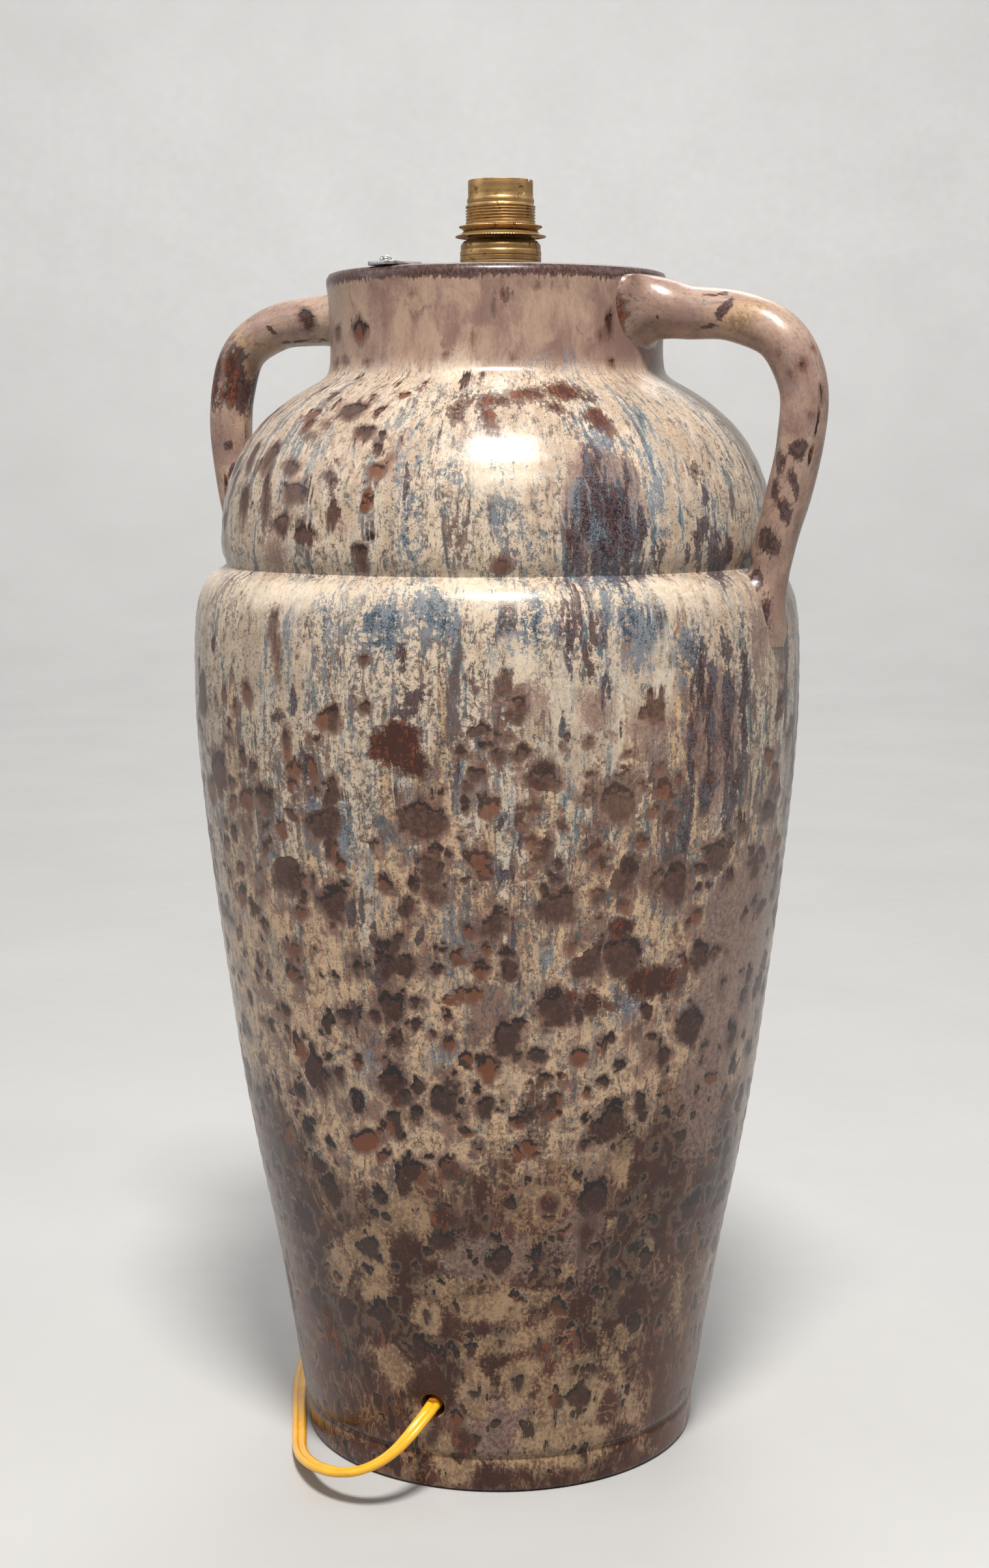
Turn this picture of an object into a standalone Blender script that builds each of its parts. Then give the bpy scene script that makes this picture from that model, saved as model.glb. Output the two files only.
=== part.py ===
# Lamp base: a two-handled glazed stoneware vase, wired as a table lamp, with a
# brass bayonet lampholder on a steel crossbar, a flat two-core flex, an in-line
# rocker switch and a flat two-pin plug.
# Metres, +Z up. Origin: centre of the foot, on the surface that the lamp stands on.
# The handles point along +X and -X, and the flex leaves near -Y.
import math

import bpy
import bmesh
from mathutils import Matrix, Vector

MM = 0.001
GAP = 0.3            # running clearance kept between neighbouring pieces, mm

# ---------------------------------------------------------------- dimensions, mm
# vase, outside: (height, radius) stations of the thrown shape
FOOT = [(1.2, 78.1), (12.8, 78.7), (14.2, 77.9), (15.8, 79.5)]
BODY = [(15.8, 79.5), (80, 89.8), (115, 96.7), (150, 102.7), (220, 111.8), (255, 115.6),
        (285, 117.9), (305, 118.3), (320, 118.0), (332, 116.9), (340, 114.6), (345.5, 110.8)]
STEP = [(348.0, 105.6), (349.3, 103.9), (350.8, 105.6), (353.5, 107.0)]
DOME = [(353.5, 107.0), (366, 106.5), (378, 104.5), (390, 99.6), (400, 92.9), (408, 84.5),
        (414, 75.9), (419, 67.4)]
COLLAR = [(421.6, 65.0), (425, 64.2), (450, 64.8), (456.5, 65.3), (458.2, 64.4), (458.8, 62.9)]
RIM_Z = 458.8
MOUTH_R = 56.5
WALL = 8.0
FOOT_RECESS_R = 64.0
FOOT_RECESS = 4.0
FLOOR_Z = 12.5
INSIDE = [(458.8, 57.5), (458.2, 56.5), (421.0, 56.5), (414, 59.5), (402, 76.5), (394, 86.0), (382, 94.5),
          (350, 98.8), (340, 104.5), (305, 110.3), (220, 103.8), (150, 94.7), (80, 81.8), (20, 69.5),
          (12.5, 62.0)]
VASE_SIDES = 44

# handles: centreline stations (distance from the axis, height) and the tube's radius there
HANDLE_R = [(60, 446.8, 13.0), (69, 444.6, 11.2), (80, 442.2, 9.7), (99, 440.4, 9.3), (117.3, 432.4, 9.2),
            (126.3, 415.3, 9.0), (125.7, 395.5, 8.7), (121.7, 376.7, 8.2), (117.0, 358.4, 7.4),
            (113.8, 340.0, 6.6), (112.2, 321.0, 4.8)]
HANDLE_L = [(60, 443.4, 13.0), (69, 443.4, 11.2), (82, 443.2, 9.6), (101.6, 441.0, 9.3), (118.2, 431.4, 9.1),
            (124.6, 413.8, 8.9), (125.5, 395.2, 8.6), (123.0, 376.6, 8.2), (119.4, 358.1, 7.5),
            (115.0, 340.0, 6.6), (112.4, 321.0, 4.8)]
HANDLE_SIDES = 12

# cord hole through the wall near the foot
HOLE_AZ = -79.1      # degrees
HOLE_Z = 34.8
HOLE_R = 4.8

# lampholder: its axis stands a little off the vase's axis
HOLD_X, HOLD_Y = 1.4, 0.8
BARREL_TOP = 493.75
BARREL_R = 12.45
BORE_R = 11.3        # bayonet bore, for a 22 mm cap
THREAD_R = 13.4
THREAD_TOP = 484.2
SLOT_AZ = 5.6        # the bayonet slots' entries, and opposite
CONTACT_AZ = 70.0
CONTACT_X = 5.3
HOLD_SIDES = 24
RING_BORE = 13.75
RING_UP_R = 15.95
RING_LOW_R = 17.4

# crossbar: a cranked steel strap over the mouth
STRAP_AZ = -104.0
STRAP_W = 14.0
STRAP_T = 1.4
STRAP_END = 64.8
STRAP_Z = RIM_Z + GAP
STRAP_DROP_Z = 445.3
SCREW_U = 60.5

# flat two-core flex
FLEX_W = 5.8
FLEX_R = FLEX_W / 2
ON_FLOOR = 3.1       # height of the flex's middle where it lies on the surface

# route of the flex outside, from the hole round the left of the foot to the switch
ROUTE_OUT = [(15.6, -83.6, 33.7), (14.9, -89.0, 31.1), (13.3, -94.0, 27.6),
             (10.3, -98.4, 23.3), (5.4, -102.1, 19.0), (-1.7, -104.4, 15.1), (-11.6, -104.1, 12.0),
             (-22.4, -100.2, 9.7), (-35.3, -90.7, 7.2), (-46.3, -78.3, 4.8), (-56.9, -63.0, 3.3),
             (-66.0, -49.3, ON_FLOOR), (-76.9, -33.0, ON_FLOOR), (-87.6, -15.6, ON_FLOOR),
             (-94.8, -1.9, ON_FLOOR), (-102.5, 14.0, ON_FLOOR), (-107.4, 31.0, ON_FLOOR), (-108.0, 47.0, 3.6),
             (-104.0, 61.0, 5.4), (-98.2, 70.6, 7.8), (-94.3, 75.9, 9.1), (-92.6, 76.8, 9.15)]
# route inside, from the hollow nipple down the vase to the hole
ROUTE_IN = [(HOLD_X, HOLD_Y, 452.4), (HOLD_X, HOLD_Y, 436.0), (HOLD_X, HOLD_Y, 410.0), (2.4, -1.0, 350.0), (5.0, -5.0, 270.0),
            (6.0, -9.0, 190.0), (4.5, -10.0, 120.0), (2.0, -9.0, 75.0), (1.0, -12.0, 45.0),
            (2.5, -23.0, 24.0), (5.5, -38.0, 17.2), (8.5, -51.0, 20.5), (11.4, -61.0, 29.0), (13.3, -69.8, 34.4)]

# back of the lamp: a frame turned so that its X runs across the back
BACK_TURN = 29.0
SWITCH_AT = (-14.0, 112.0)
COIL_AT = (46.0, 166.0)
COIL_OUT, COIL_IN = 36.2, 24.0
COIL_Z0, COIL_Z1 = 1.2, 13.4
PLUG_AT = (4.0, 199.0)
PLUG_TURN = 200.0
PLUG_Z = 6.95
ROUTE_TO_COIL = [(16.3, 112.0, 9.15), (19.5, 112.0, 9.1), (28, 112.3, 7.6), (40, 114.6, 4.6), (54, 120.0, ON_FLOOR),
                 (67, 129.0, ON_FLOOR), (77.5, 141.5, ON_FLOOR), (83.6, 153.0, ON_FLOOR), (85.8, 163.0, ON_FLOOR)]
ROUTE_TO_PLUG = [(39.4, 205.6, 8.6), (30.0, 205.6, 7.6), (18.0, 203.6, 6.95), (10.0, 201.1, 6.95), (4.3, 199.12, 6.95)]


# ---------------------------------------------------------------- helpers
def clear_scene():
    for o in list(bpy.data.objects):
        bpy.data.objects.remove(o, do_unlink=True)


def material(name, colour, rough, metal=0.0):
    m = bpy.data.materials.new(name)
    m.use_nodes = True
    b = m.node_tree.nodes["Principled BSDF"]
    b.inputs["Base Color"].default_value = (*colour, 1.0)
    b.inputs["Roughness"].default_value = rough
    b.inputs["Metallic"].default_value = metal
    return m


def finish(bm, name, mat, smooth=True, angle=35.0):
    bmesh.ops.recalc_face_normals(bm, faces=bm.faces[:])
    me = bpy.data.meshes.new(name)
    bm.to_mesh(me)
    bm.free()
    if smooth:
        me.shade_smooth()
        me.set_sharp_from_angle(angle=math.radians(angle))
    o = bpy.data.objects.new(name, me)
    bpy.context.scene.collection.objects.link(o)
    if mat:
        me.materials.append(mat)
    return o


def lathe(name, profile, sides, mat, at=(0, 0), phase=0.0, parent=None):
    """Turns a closed (height, radius) outline, in mm, about the vertical line through at."""
    bm = bmesh.new()
    rings = []
    for z, r in profile:
        if r < 1e-6:
            rings.append([bm.verts.new((0, 0, z * MM))])
        else:
            rings.append([bm.verts.new((r * MM * math.cos(2 * math.pi * k / sides + phase),
                                        r * MM * math.sin(2 * math.pi * k / sides + phase), z * MM))
                          for k in range(sides)])
    n = len(rings)
    open_ends = len(rings[0]) == 1 and len(rings[-1]) == 1
    for j in range(n - 1 if open_ends else n):
        a, b = rings[j], rings[(j + 1) % n]
        for k in range(sides):
            q = (k + 1) % sides
            if len(a) == 1:
                bm.faces.new((a[0], b[q], b[k]))
            elif len(b) == 1:
                bm.faces.new((a[k], a[q], b[0]))
            else:
                bm.faces.new((a[k], a[q], b[q], b[k]))
    o = finish(bm, name, mat)
    o.location = (at[0] * MM, at[1] * MM, 0)
    if parent:
        o.parent = parent
    return o


def prism(name, outline, low, high, mat, axis="Z", parent=None, smooth=False):
    """Extrudes an outline, in mm, along an axis from low to high."""
    def put(u, v, w):
        return {"Z": (u, v, w), "Y": (u, w, v), "X": (w, u, v)}[axis]
    bm = bmesh.new()
    a = [bm.verts.new([c * MM for c in put(u, v, low)]) for u, v in outline]
    b = [bm.verts.new([c * MM for c in put(u, v, high)]) for u, v in outline]
    n = len(outline)
    bm.faces.new(a)
    bm.faces.new(b)
    for k in range(n):
        bm.faces.new((a[k], a[(k + 1) % n], b[(k + 1) % n], b[k]))
    o = finish(bm, name, mat, smooth)
    if parent:
        o.parent = parent
    return o


def circle(r, sides, cx=0.0, cy=0.0, phase=0.0):
    return [(cx + r * math.cos(2 * math.pi * k / sides + phase), cy + r * math.sin(2 * math.pi * k / sides + phase))
            for k in range(sides)]


def rounded(length, width, radius, steps=4):
    """A rectangle with round corners, centred."""
    out = []
    for sx, sy, a0 in ((1, 1, 0), (-1, 1, 90), (-1, -1, 180), (1, -1, 270)):
        for k in range(steps + 1):
            a = math.radians(a0 + 90 * k / steps)
            out.append((sx * (length / 2 - radius) + radius * math.cos(a), sy * (width / 2 - radius) + radius * math.sin(a)))
    return out


def loft(name, loops, mat, parent=None, smooth=True, angle=35.0, wrap=False):
    """Joins loops of equal count, in mm, into one closed body with flat ends, or into a ring."""
    bm = bmesh.new()
    rows = [[bm.verts.new([c * MM for c in p]) for p in loop] for loop in loops]
    n = len(rows[0])
    last = len(rows) if wrap else len(rows) - 1
    for j in range(last):
        a, b = rows[j], rows[(j + 1) % len(rows)]
        for k in range(n):
            bm.faces.new((a[k], a[(k + 1) % n], b[(k + 1) % n], b[k]))
    if not wrap:
        bm.faces.new(rows[0])
        bm.faces.new(rows[-1])
    o = finish(bm, name, mat, smooth, angle)
    if parent:
        o.parent = parent
    return o


def spline(points, per):
    """A smooth curve through the points, with per steps between each two of them (centripetal Catmull-Rom)."""
    P = [Vector(p) for p in points]
    P = [P[0] * 2 - P[1]] + P + [P[-1] * 2 - P[-2]]
    out = []
    for i in range(1, len(P) - 2):
        p0, p1, p2, p3 = P[i - 1:i + 3]
        t1 = max((p1 - p0).length, 1e-9) ** 0.5
        t2 = t1 + max((p2 - p1).length, 1e-9) ** 0.5
        t3 = t2 + max((p3 - p2).length, 1e-9) ** 0.5
        for s in range(per):
            t = t1 + (t2 - t1) * s / per
            a1 = p0 * ((t1 - t) / t1) + p1 * (t / t1)
            a2 = p1 * ((t2 - t) / (t2 - t1)) + p2 * ((t - t1) / (t2 - t1))
            a3 = p2 * ((t3 - t) / (t3 - t2)) + p3 * ((t - t2) / (t3 - t2))
            b1 = a1 * ((t2 - t) / t2) + a2 * (t / t2)
            b2 = a2 * ((t3 - t) / (t3 - t1)) + a3 * ((t - t1) / (t3 - t1))
            out.append(b1 * ((t2 - t) / (t2 - t1)) + b2 * ((t - t1) / (t2 - t1)))
    out.append(P[-2].copy())
    return out


def even(points, step):
    """The same curve with points equally far apart, about step."""
    along = [0.0]
    for a, b in zip(points[:-1], points[1:]):
        along.append(along[-1] + (b - a).length)
    n = max(2, round(along[-1] / step))
    out, j = [], 0
    for k in range(n + 1):
        s = along[-1] * k / n
        while j < len(along) - 2 and along[j + 1] < s:
            j += 1
        f = (s - along[j]) / max(along[j + 1] - along[j], 1e-12)
        out.append(points[j].lerp(points[j + 1], min(max(f, 0.0), 1.0)))
    return out


def tube(name, route, mat, step=13.0, first=None, last=None, fine=None, radius=FLEX_R):
    """A round cord along a route; first and last are short straight runs, as vectors, that it starts and ends with.
    fine is (station, step): from that station on, the points stand closer."""
    pts = spline(route, 16)
    if fine:
        pts = even(pts[:16 * fine[0] + 1], step)[:-1] + even(pts[16 * fine[0]:], fine[1])
    else:
        pts = even(pts, step)
    if first:
        pts.insert(1, pts[0] + Vector(first))
    if last:
        pts.insert(-1, pts[-1] - Vector(last))
    cu = bpy.data.curves.new(name, "CURVE")
    cu.dimensions = "3D"
    sp = cu.splines.new("POLY")
    sp.points.add(len(pts) - 1)
    for p, q in zip(sp.points, pts):
        p.co = (q.x * MM, q.y * MM, q.z * MM, 1.0)
    cu.bevel_depth = radius * MM
    cu.bevel_resolution = 2
    cu.use_fill_caps = True
    cu.materials.append(mat)
    o = bpy.data.objects.new(name, cu)
    bpy.context.scene.collection.objects.link(o)
    return o


def cut(o, cutter, operation="DIFFERENCE"):
    cutter.hide_render = True
    cutter.display_type = "WIRE"
    m = o.modifiers.new(cutter.name, "BOOLEAN")
    m.operation = operation
    m.object = cutter
    m.solver = "EXACT"


def rod(name, start, end, radius, sides, mat=None, parent=None):
    """A straight round bar between two points, in mm."""
    a, b = Vector(start), Vector(end)
    d = (b - a).normalized()
    u = d.orthogonal().normalized()
    v = d.cross(u)
    loops = [[p + (u * math.cos(t) + v * math.sin(t)) * radius for t in [2 * math.pi * k / sides for k in range(sides)]]
             for p in (a, b)]
    return loft(name, loops, mat, parent)


def turned(name, start, direction, stations, sides, mat, parent=None):
    """A round piece about a line: stations are (distance along it, radius), in mm; a zero radius closes an end."""
    d = Vector(direction).normalized()
    u = d.orthogonal().normalized()
    v = d.cross(u)
    bm = bmesh.new()
    rings = []
    for s, r in stations:
        p = Vector(start) + d * s
        if r < 1e-6:
            rings.append([bm.verts.new(p * MM)])
        else:
            rings.append([bm.verts.new((p + (u * math.cos(2 * math.pi * k / sides) + v * math.sin(2 * math.pi * k / sides)) * r) * MM)
                          for k in range(sides)])
    for a, b in zip(rings[:-1], rings[1:]):
        for k in range(sides):
            q = (k + 1) % sides
            if len(a) == 1:
                bm.faces.new((a[0], b[q], b[k]))
            elif len(b) == 1:
                bm.faces.new((a[k], a[q], b[0]))
            else:
                bm.faces.new((a[k], a[q], b[q], b[k]))
    if len(rings[0]) > 1:
        bm.faces.new(rings[0])
    if len(rings[-1]) > 1:
        bm.faces.new(rings[-1])
    o = finish(bm, name, mat)
    if parent:
        o.parent = parent
    return o


def empty(name, at, turn=0.0, parent=None):
    e = bpy.data.objects.new(name, None)
    bpy.context.scene.collection.objects.link(e)
    e.location = [c * MM for c in at]
    e.rotation_euler = (0, 0, math.radians(turn))
    if parent:
        e.parent = parent
    return e


def polar(az, r, z=0.0):
    a = math.radians(az)
    return Vector((r * math.cos(a), r * math.sin(a), z))


def to_back(p):
    """A point of the frame at the back of the lamp, in the lamp's own frame."""
    a = math.radians(BACK_TURN)
    return (p[0] * math.cos(a) - p[1] * math.sin(a), p[0] * math.sin(a) + p[1] * math.cos(a), p[2])


clear_scene()

GLAZE = material("glazed_stoneware", (0.36, 0.27, 0.20), 0.22)
GLAZE_L = material("glazed_stoneware_left", (0.40, 0.30, 0.22), 0.22)
GLAZE_R = material("glazed_stoneware_right", (0.40, 0.30, 0.22), 0.22)
STEEL = material("zinc_steel", (0.55, 0.55, 0.54), 0.38, 1.0)
SCREW_STEEL = material("screw_steel", (0.72, 0.72, 0.70), 0.22, 1.0)
BRASS_OLD = material("aged_brass", (0.46, 0.33, 0.15), 0.38, 1.0)
BRASS = material("brass", (0.70, 0.53, 0.25), 0.30, 1.0)
SPRING = material("spring_steel", (0.50, 0.50, 0.50), 0.30, 1.0)
INSULATOR = material("insulator", (0.86, 0.84, 0.78), 0.40)
FIBRE = material("fibre_plug", (0.42, 0.31, 0.22), 0.85)
FLEX = material("yellow_flex", (0.85, 0.48, 0.03), 0.32)
PLASTIC = material("ivory_plastic", (0.80, 0.76, 0.66), 0.35)
ROCKER = material("brown_plastic", (0.12, 0.08, 0.06), 0.35)
TIE = material("tie_plastic", (0.10, 0.10, 0.10), 0.6)
PLUG = material("plug_plastic", (0.78, 0.74, 0.64), 0.38)

# ---------------------------------------------------------------- vase
def outside():
    """The outer outline from the foot to the rim, (height, radius)."""
    def flat(points, per):
        return [(p.x, p.y) for p in spline([(z, r, 0) for z, r in points], per)]
    return FOOT[:-1] + flat(BODY, 1) + STEP[:-1] + flat(DOME, 1)[:] + COLLAR


shape = [(FOOT_RECESS, 0.0), (FOOT_RECESS, FOOT_RECESS_R), (0.0, FOOT_RECESS_R + 2.0), (0.0, 77.0)] + outside() + INSIDE + [(FLOOR_Z, 0.0)]
vase = lathe("vase_body", shape, VASE_SIDES, GLAZE)
cut(vase, rod("cord_hole_cutter", polar(HOLE_AZ, 66, HOLE_Z), polar(HOLE_AZ, 90, HOLE_Z), HOLE_R, 16))

strap_dir = polar(STRAP_AZ, 1.0)
hold = Vector((HOLD_X, HOLD_Y, 0))
STRAP_SHIFT = -hold.dot(strap_dir)    # keeps the two screws equally far from the vase's axis
for side, s in (("front", 1), ("back", -1)):
    at = hold + strap_dir * (SCREW_U * s + STRAP_SHIFT)
    cut(vase, rod("plug_hole_cutter_" + side, at + Vector((0, 0, 443.0)), at + Vector((0, 0, 466.0)), 2.4, 12))

# ---------------------------------------------------------------- handles, luted on
def handle(name, stations, sign, mat):
    pts = spline([(x, z, r) for x, z, r in stations], 2)
    loops = []
    for i, p in enumerate(pts):
        a, b = pts[max(i - 1, 0)], pts[min(i + 1, len(pts) - 1)]
        t = Vector((b.x - a.x, b.y - a.y)).normalized()
        n = Vector((t.y, -t.x))
        loops.append([(sign * (p.x + n.x * p.z * math.cos(w)), p.z * math.sin(w), p.y + n.y * p.z * math.cos(w))
                      for w in [2 * math.pi * k / HANDLE_SIDES for k in range(HANDLE_SIDES)]])
    o = loft(name, loops, mat)
    # the vase's outline, grown by the clearance, takes the ends off where they meet the wall
    grown = [(-2.0, 0.0), (-2.0, 78.0)] + [(z, r + GAP) for z, r in outside()] + [(RIM_Z + 3, 62.0), (RIM_Z + 3, 0.0)]
    cut(o, lathe(name + "_wall_cutter", grown, VASE_SIDES, None))
    return o


handle("handle_right", HANDLE_R, 1, GLAZE_R)
handle("handle_left", HANDLE_L, -1, GLAZE_L)

# ---------------------------------------------------------------- crossbar, its screws and their plugs
bar = empty("crossbar_place", (HOLD_X, HOLD_Y, 0), STRAP_AZ)
lower = [(STRAP_END, STRAP_Z), (50.0, STRAP_Z), (47.0, STRAP_Z - 1.6), (41.5, STRAP_DROP_Z + 1.6), (38.5, STRAP_DROP_Z)]
upper = [(STRAP_END, STRAP_Z + STRAP_T), (49.4, STRAP_Z + STRAP_T), (45.9, STRAP_Z - 0.5), (40.6, STRAP_DROP_Z + 2.6), (37.9, STRAP_DROP_Z + STRAP_T)]


def both_ways(points):
    return [(x + STRAP_SHIFT, z) for x, z in points] + [(STRAP_SHIFT - x, z) for x, z in points[::-1]]


strap = prism("crossbar", both_ways(lower) + both_ways(upper)[::-1], -STRAP_W / 2, STRAP_W / 2, STEEL, axis="Y", parent=bar)
# the two ends have rounded corners
for s in (1, -1):
    outline = [(s * (STRAP_END + 4), -12), (s * (STRAP_END + 4), 12), (s * (STRAP_END - 3.4), 12)] + \
              [(s * (STRAP_END - 3.4 + 3.4 * math.sin(a)), 3.6 + 3.4 * math.cos(a)) for a in [math.radians(22.5 * k) for k in range(5)]] + \
              [(s * (STRAP_END - 3.4 + 3.4 * math.sin(a)), -3.6 - 3.4 * math.cos(a)) for a in [math.radians(22.5 * (4 - k)) for k in range(5)]] + \
              [(s * (STRAP_END - 3.4), -12)]
    cut(strap, prism("end_cutter_%d" % s, [(x + STRAP_SHIFT, y) for x, y in outline], 455, 465, None, parent=bar))
cut(strap, rod("strap_hole_cutter", (0, 0, 440), (0, 0, 450), 5.3, 16, parent=bar))
for s in (1, -1):
    u = s * SCREW_U + STRAP_SHIFT
    cut(strap, rod("strap_screw_cutter_%d" % s, (u, 0, 455), (u, 0, 465), 1.7, 12, parent=bar))

for side, s in (("front", 1), ("back", -1)):
    u, z0 = s * SCREW_U + STRAP_SHIFT, STRAP_Z + STRAP_T + GAP - 16.0
    sc = turned("crossbar_screw_" + side, (u, 0, z0), (0, 0, 1),
                [(0, 0.3), (1.6, 1.15), (16.0, 1.15), (16.0, 2.25), (16.5, 2.25), (17.4, 1.75), (17.9, 0.0)], 12, SCREW_STEEL, bar)
    cut(sc, prism("screw_slot_cutter_" + side, [(u - 3, -0.3), (u + 3, -0.3), (u + 3, 0.3), (u - 3, 0.3)],
                  z0 + 17.0, z0 + 19, None, parent=bar))
    lathe("wall_plug_" + side, [(443.4, 1.5), (443.4, 2.05), (458.2, 2.05), (458.2, 1.5)], 12, FIBRE, at=(u, 0), parent=bar)

# ---------------------------------------------------------------- nipple, washer and nut under the crossbar
lathe("nipple", [(436.8, 3.5), (436.8, 4.6), (437.3, 5.0), (451.4, 5.0), (451.9, 4.6), (451.9, 3.5)], 16, BRASS, at=(HOLD_X, HOLD_Y))
lathe("nipple_washer", [(443.9, 5.3), (443.9, 9.0), (445.0, 9.0), (445.0, 5.3)], 16, STEEL, at=(HOLD_X, HOLD_Y))
nut = prism("nipple_nut", circle(8.1, 6), 439.4, 443.6, STEEL)
nut.location = (HOLD_X * MM, HOLD_Y * MM, 0)
cut(nut, rod("nut_hole_cutter", (HOLD_X, HOLD_Y, 437), (HOLD_X, HOLD_Y, 446), 5.3, 16))

# ---------------------------------------------------------------- lampholder
H = (HOLD_X, HOLD_Y)
cap = lathe("holder_cap", [(447.0, 5.3), (447.0, 7.7), (447.5, 8.2), (452.2, 8.2), (453.9, 11.2), (456.6, 14.4), (458.6, 15.6),
                           (460.3, 15.6), (460.3, 14.3), (466.7, 14.3), (466.7, 13.3), (459.3, 13.3), (459.3, 12.2), (457.6, 12.2),
                           (455.2, 10.4), (452.6, 6.6), (452.2, 5.3)], HOLD_SIDES, BRASS_OLD, at=H)
cut(cap, rod("grub_hole_cutter", (HOLD_X, HOLD_Y - 4.0, 449.7), (HOLD_X, HOLD_Y - 10.0, 449.7), 1.8, 12))
turned("cap_grub_screw", (HOLD_X, HOLD_Y - 5.35, 449.7), (0, -1, 0), [(0, 0.7), (0.5, 1.45), (2.7, 1.45)], 10, SCREW_STEEL)

lathe("holder_union_ring", [(460.6, 14.65), (460.6, 15.6), (467.0, 15.6), (467.4, 15.35), (469.3, 15.35), (469.9, 15.0),
                            (471.0, 14.1), (471.0, 13.75), (468.3, 13.75), (468.3, 14.65)], HOLD_SIDES, BRASS_OLD, at=H)

barrel = lathe("holder_barrel", [(467.0, BORE_R), (467.0, 14.3), (468.0, 14.3), (468.0, THREAD_R), (THREAD_TOP - 0.5, THREAD_R),
                                 (THREAD_TOP, 12.85), (485.2, 12.62), (487.4, BARREL_R), (BARREL_TOP - 0.3, BARREL_R),
                                 (BARREL_TOP, BARREL_R - 0.3), (BARREL_TOP, BORE_R)], 36, BRASS_OLD, at=H)


def slot_cutter(name, az0, columns, rows, filled, r_in, r_out):
    """A patch of a thick round wall, made of cells between columns (degrees) and rows (mm)."""
    bm = bmesh.new()
    verts = {}

    def v(i, j, k):
        if (i, j, k) not in verts:
            a = math.radians(az0 + columns[i])
            r = (r_in, r_out)[k]
            verts[i, j, k] = bm.verts.new((r * MM * math.cos(a), r * MM * math.sin(a), rows[j] * MM))
        return verts[i, j, k]
    cells = {(i, j) for i in range(len(columns) - 1) for j in range(len(rows) - 1) if filled(i, j)}
    for i, j in cells:
        bm.faces.new((v(i, j, 0), v(i + 1, j, 0), v(i + 1, j + 1, 0), v(i, j + 1, 0)))
        bm.faces.new((v(i, j, 1), v(i, j + 1, 1), v(i + 1, j + 1, 1), v(i + 1, j, 1)))
        for (di, dj), (p, q) in {(-1, 0): ((i, j), (i, j + 1)), (1, 0): ((i + 1, j + 1), (i + 1, j)),
                                 (0, -1): ((i + 1, j), (i, j)), (0, 1): ((i, j + 1), (i + 1, j + 1))}.items():
            if (i + di, j + dj) not in cells:
                bm.faces.new((v(*p, 0), v(*q, 0), v(*q, 1), v(*p, 1)))
    o = finish(bm, name, None, False)
    o.location = (HOLD_X * MM, HOLD_Y * MM, 0)
    return o


for k, az in enumerate((SLOT_AZ, SLOT_AZ + 180)):
    # a groove inside the barrel for the cap's pin: down, round, and a little up
    cut(barrel, slot_cutter("slot_cutter_%d" % k, az, [-31, -21, -7, 7], [485.6, 488.4, 490.4, 496.0],
                            lambda i, j: (i == 2) or (j == 0) or (i == 0 and j == 1), 10.4, 11.95))
    cut(barrel, slot_cutter("notch_cutter_%d" % k, az, [-8.6, 8.6], [492.7, 497.0], lambda i, j: True, 10.0, 14.0))

insert = lathe("holder_insert", [(457.6, 0.0), (457.6, 11.7), (459.6, 11.9), (459.6, 13.0), (463.5, 13.0), (463.5, 11.0), (471.4, 11.0),
                                 (471.8, 10.5), (471.8, 0.0)], HOLD_SIDES, INSULATOR, at=H)
place = empty("contact_place", (HOLD_X, HOLD_Y, 0), CONTACT_AZ)
for side, s in (("right", 1), ("left", -1)):
    x = s * CONTACT_X
    cut(insert, rod("bore_cutter_" + side, (x, 0, 455.0), (x, 0, 470.0), 2.65, 12, parent=place))
    cut(insert, rod("stem_hole_cutter_" + side, (x, 0, 469.0), (x, 0, 474.0), 1.95, 12, parent=place))
    spot = empty("contact_plunger_%s_axis" % side, (x, 0, 0), 0, place)
    turned("contact_plunger_" + side, (0, 0, 467.2), (0, 0, 1),
           [(0, 2.3), (2.4, 2.3), (2.6, 1.6), (8.3, 1.6), (9.0, 1.15), (9.3, 0.0)], 12, BRASS, spot)
    term = turned("terminal_" + side, (x, 0, 454.2), (0, 0, 1), [(0, 2.0), (0.3, 2.3), (7.2, 2.3)], 12, BRASS, place)
    cut(term, rod("terminal_hole_cutter_" + side, (x, 0, 455.85), (x + s * 5, 0, 455.85), 1.1, 10, parent=place))
    turned("terminal_screw_" + side, (x + s * 0.3, 0, 455.85), (s, 0, 0), [(0, 0.6), (0.3, 0.8), (2.3, 0.8), (2.35, 1.25), (3.3, 1.25)], 10, SCREW_STEEL, place)
    # the spring under each plunger
    turns, r_mid, wire, z0, z1, step = 4.0, 1.75, 0.22, 461.95, 466.65, 10
    loops = []
    n = int(turns * step)
    for i in range(n + 1):
        a = 2 * math.pi * i / step
        f = i / n
        c = Vector((x + r_mid * math.cos(a), r_mid * math.sin(a), z0 + (z1 - z0) * f))
        t = Vector((-math.sin(a), math.cos(a), (z1 - z0) / (turns * 2 * math.pi * r_mid))).normalized()
        u = Vector((math.cos(a), math.sin(a), 0))
        w = t.cross(u)
        loops.append([c + (u * math.cos(b) + w * math.sin(b)) * wire for b in [2 * math.pi * k / 4 for k in range(4)]])
    loft("plunger_spring_" + side, loops, SPRING, place)

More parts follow.
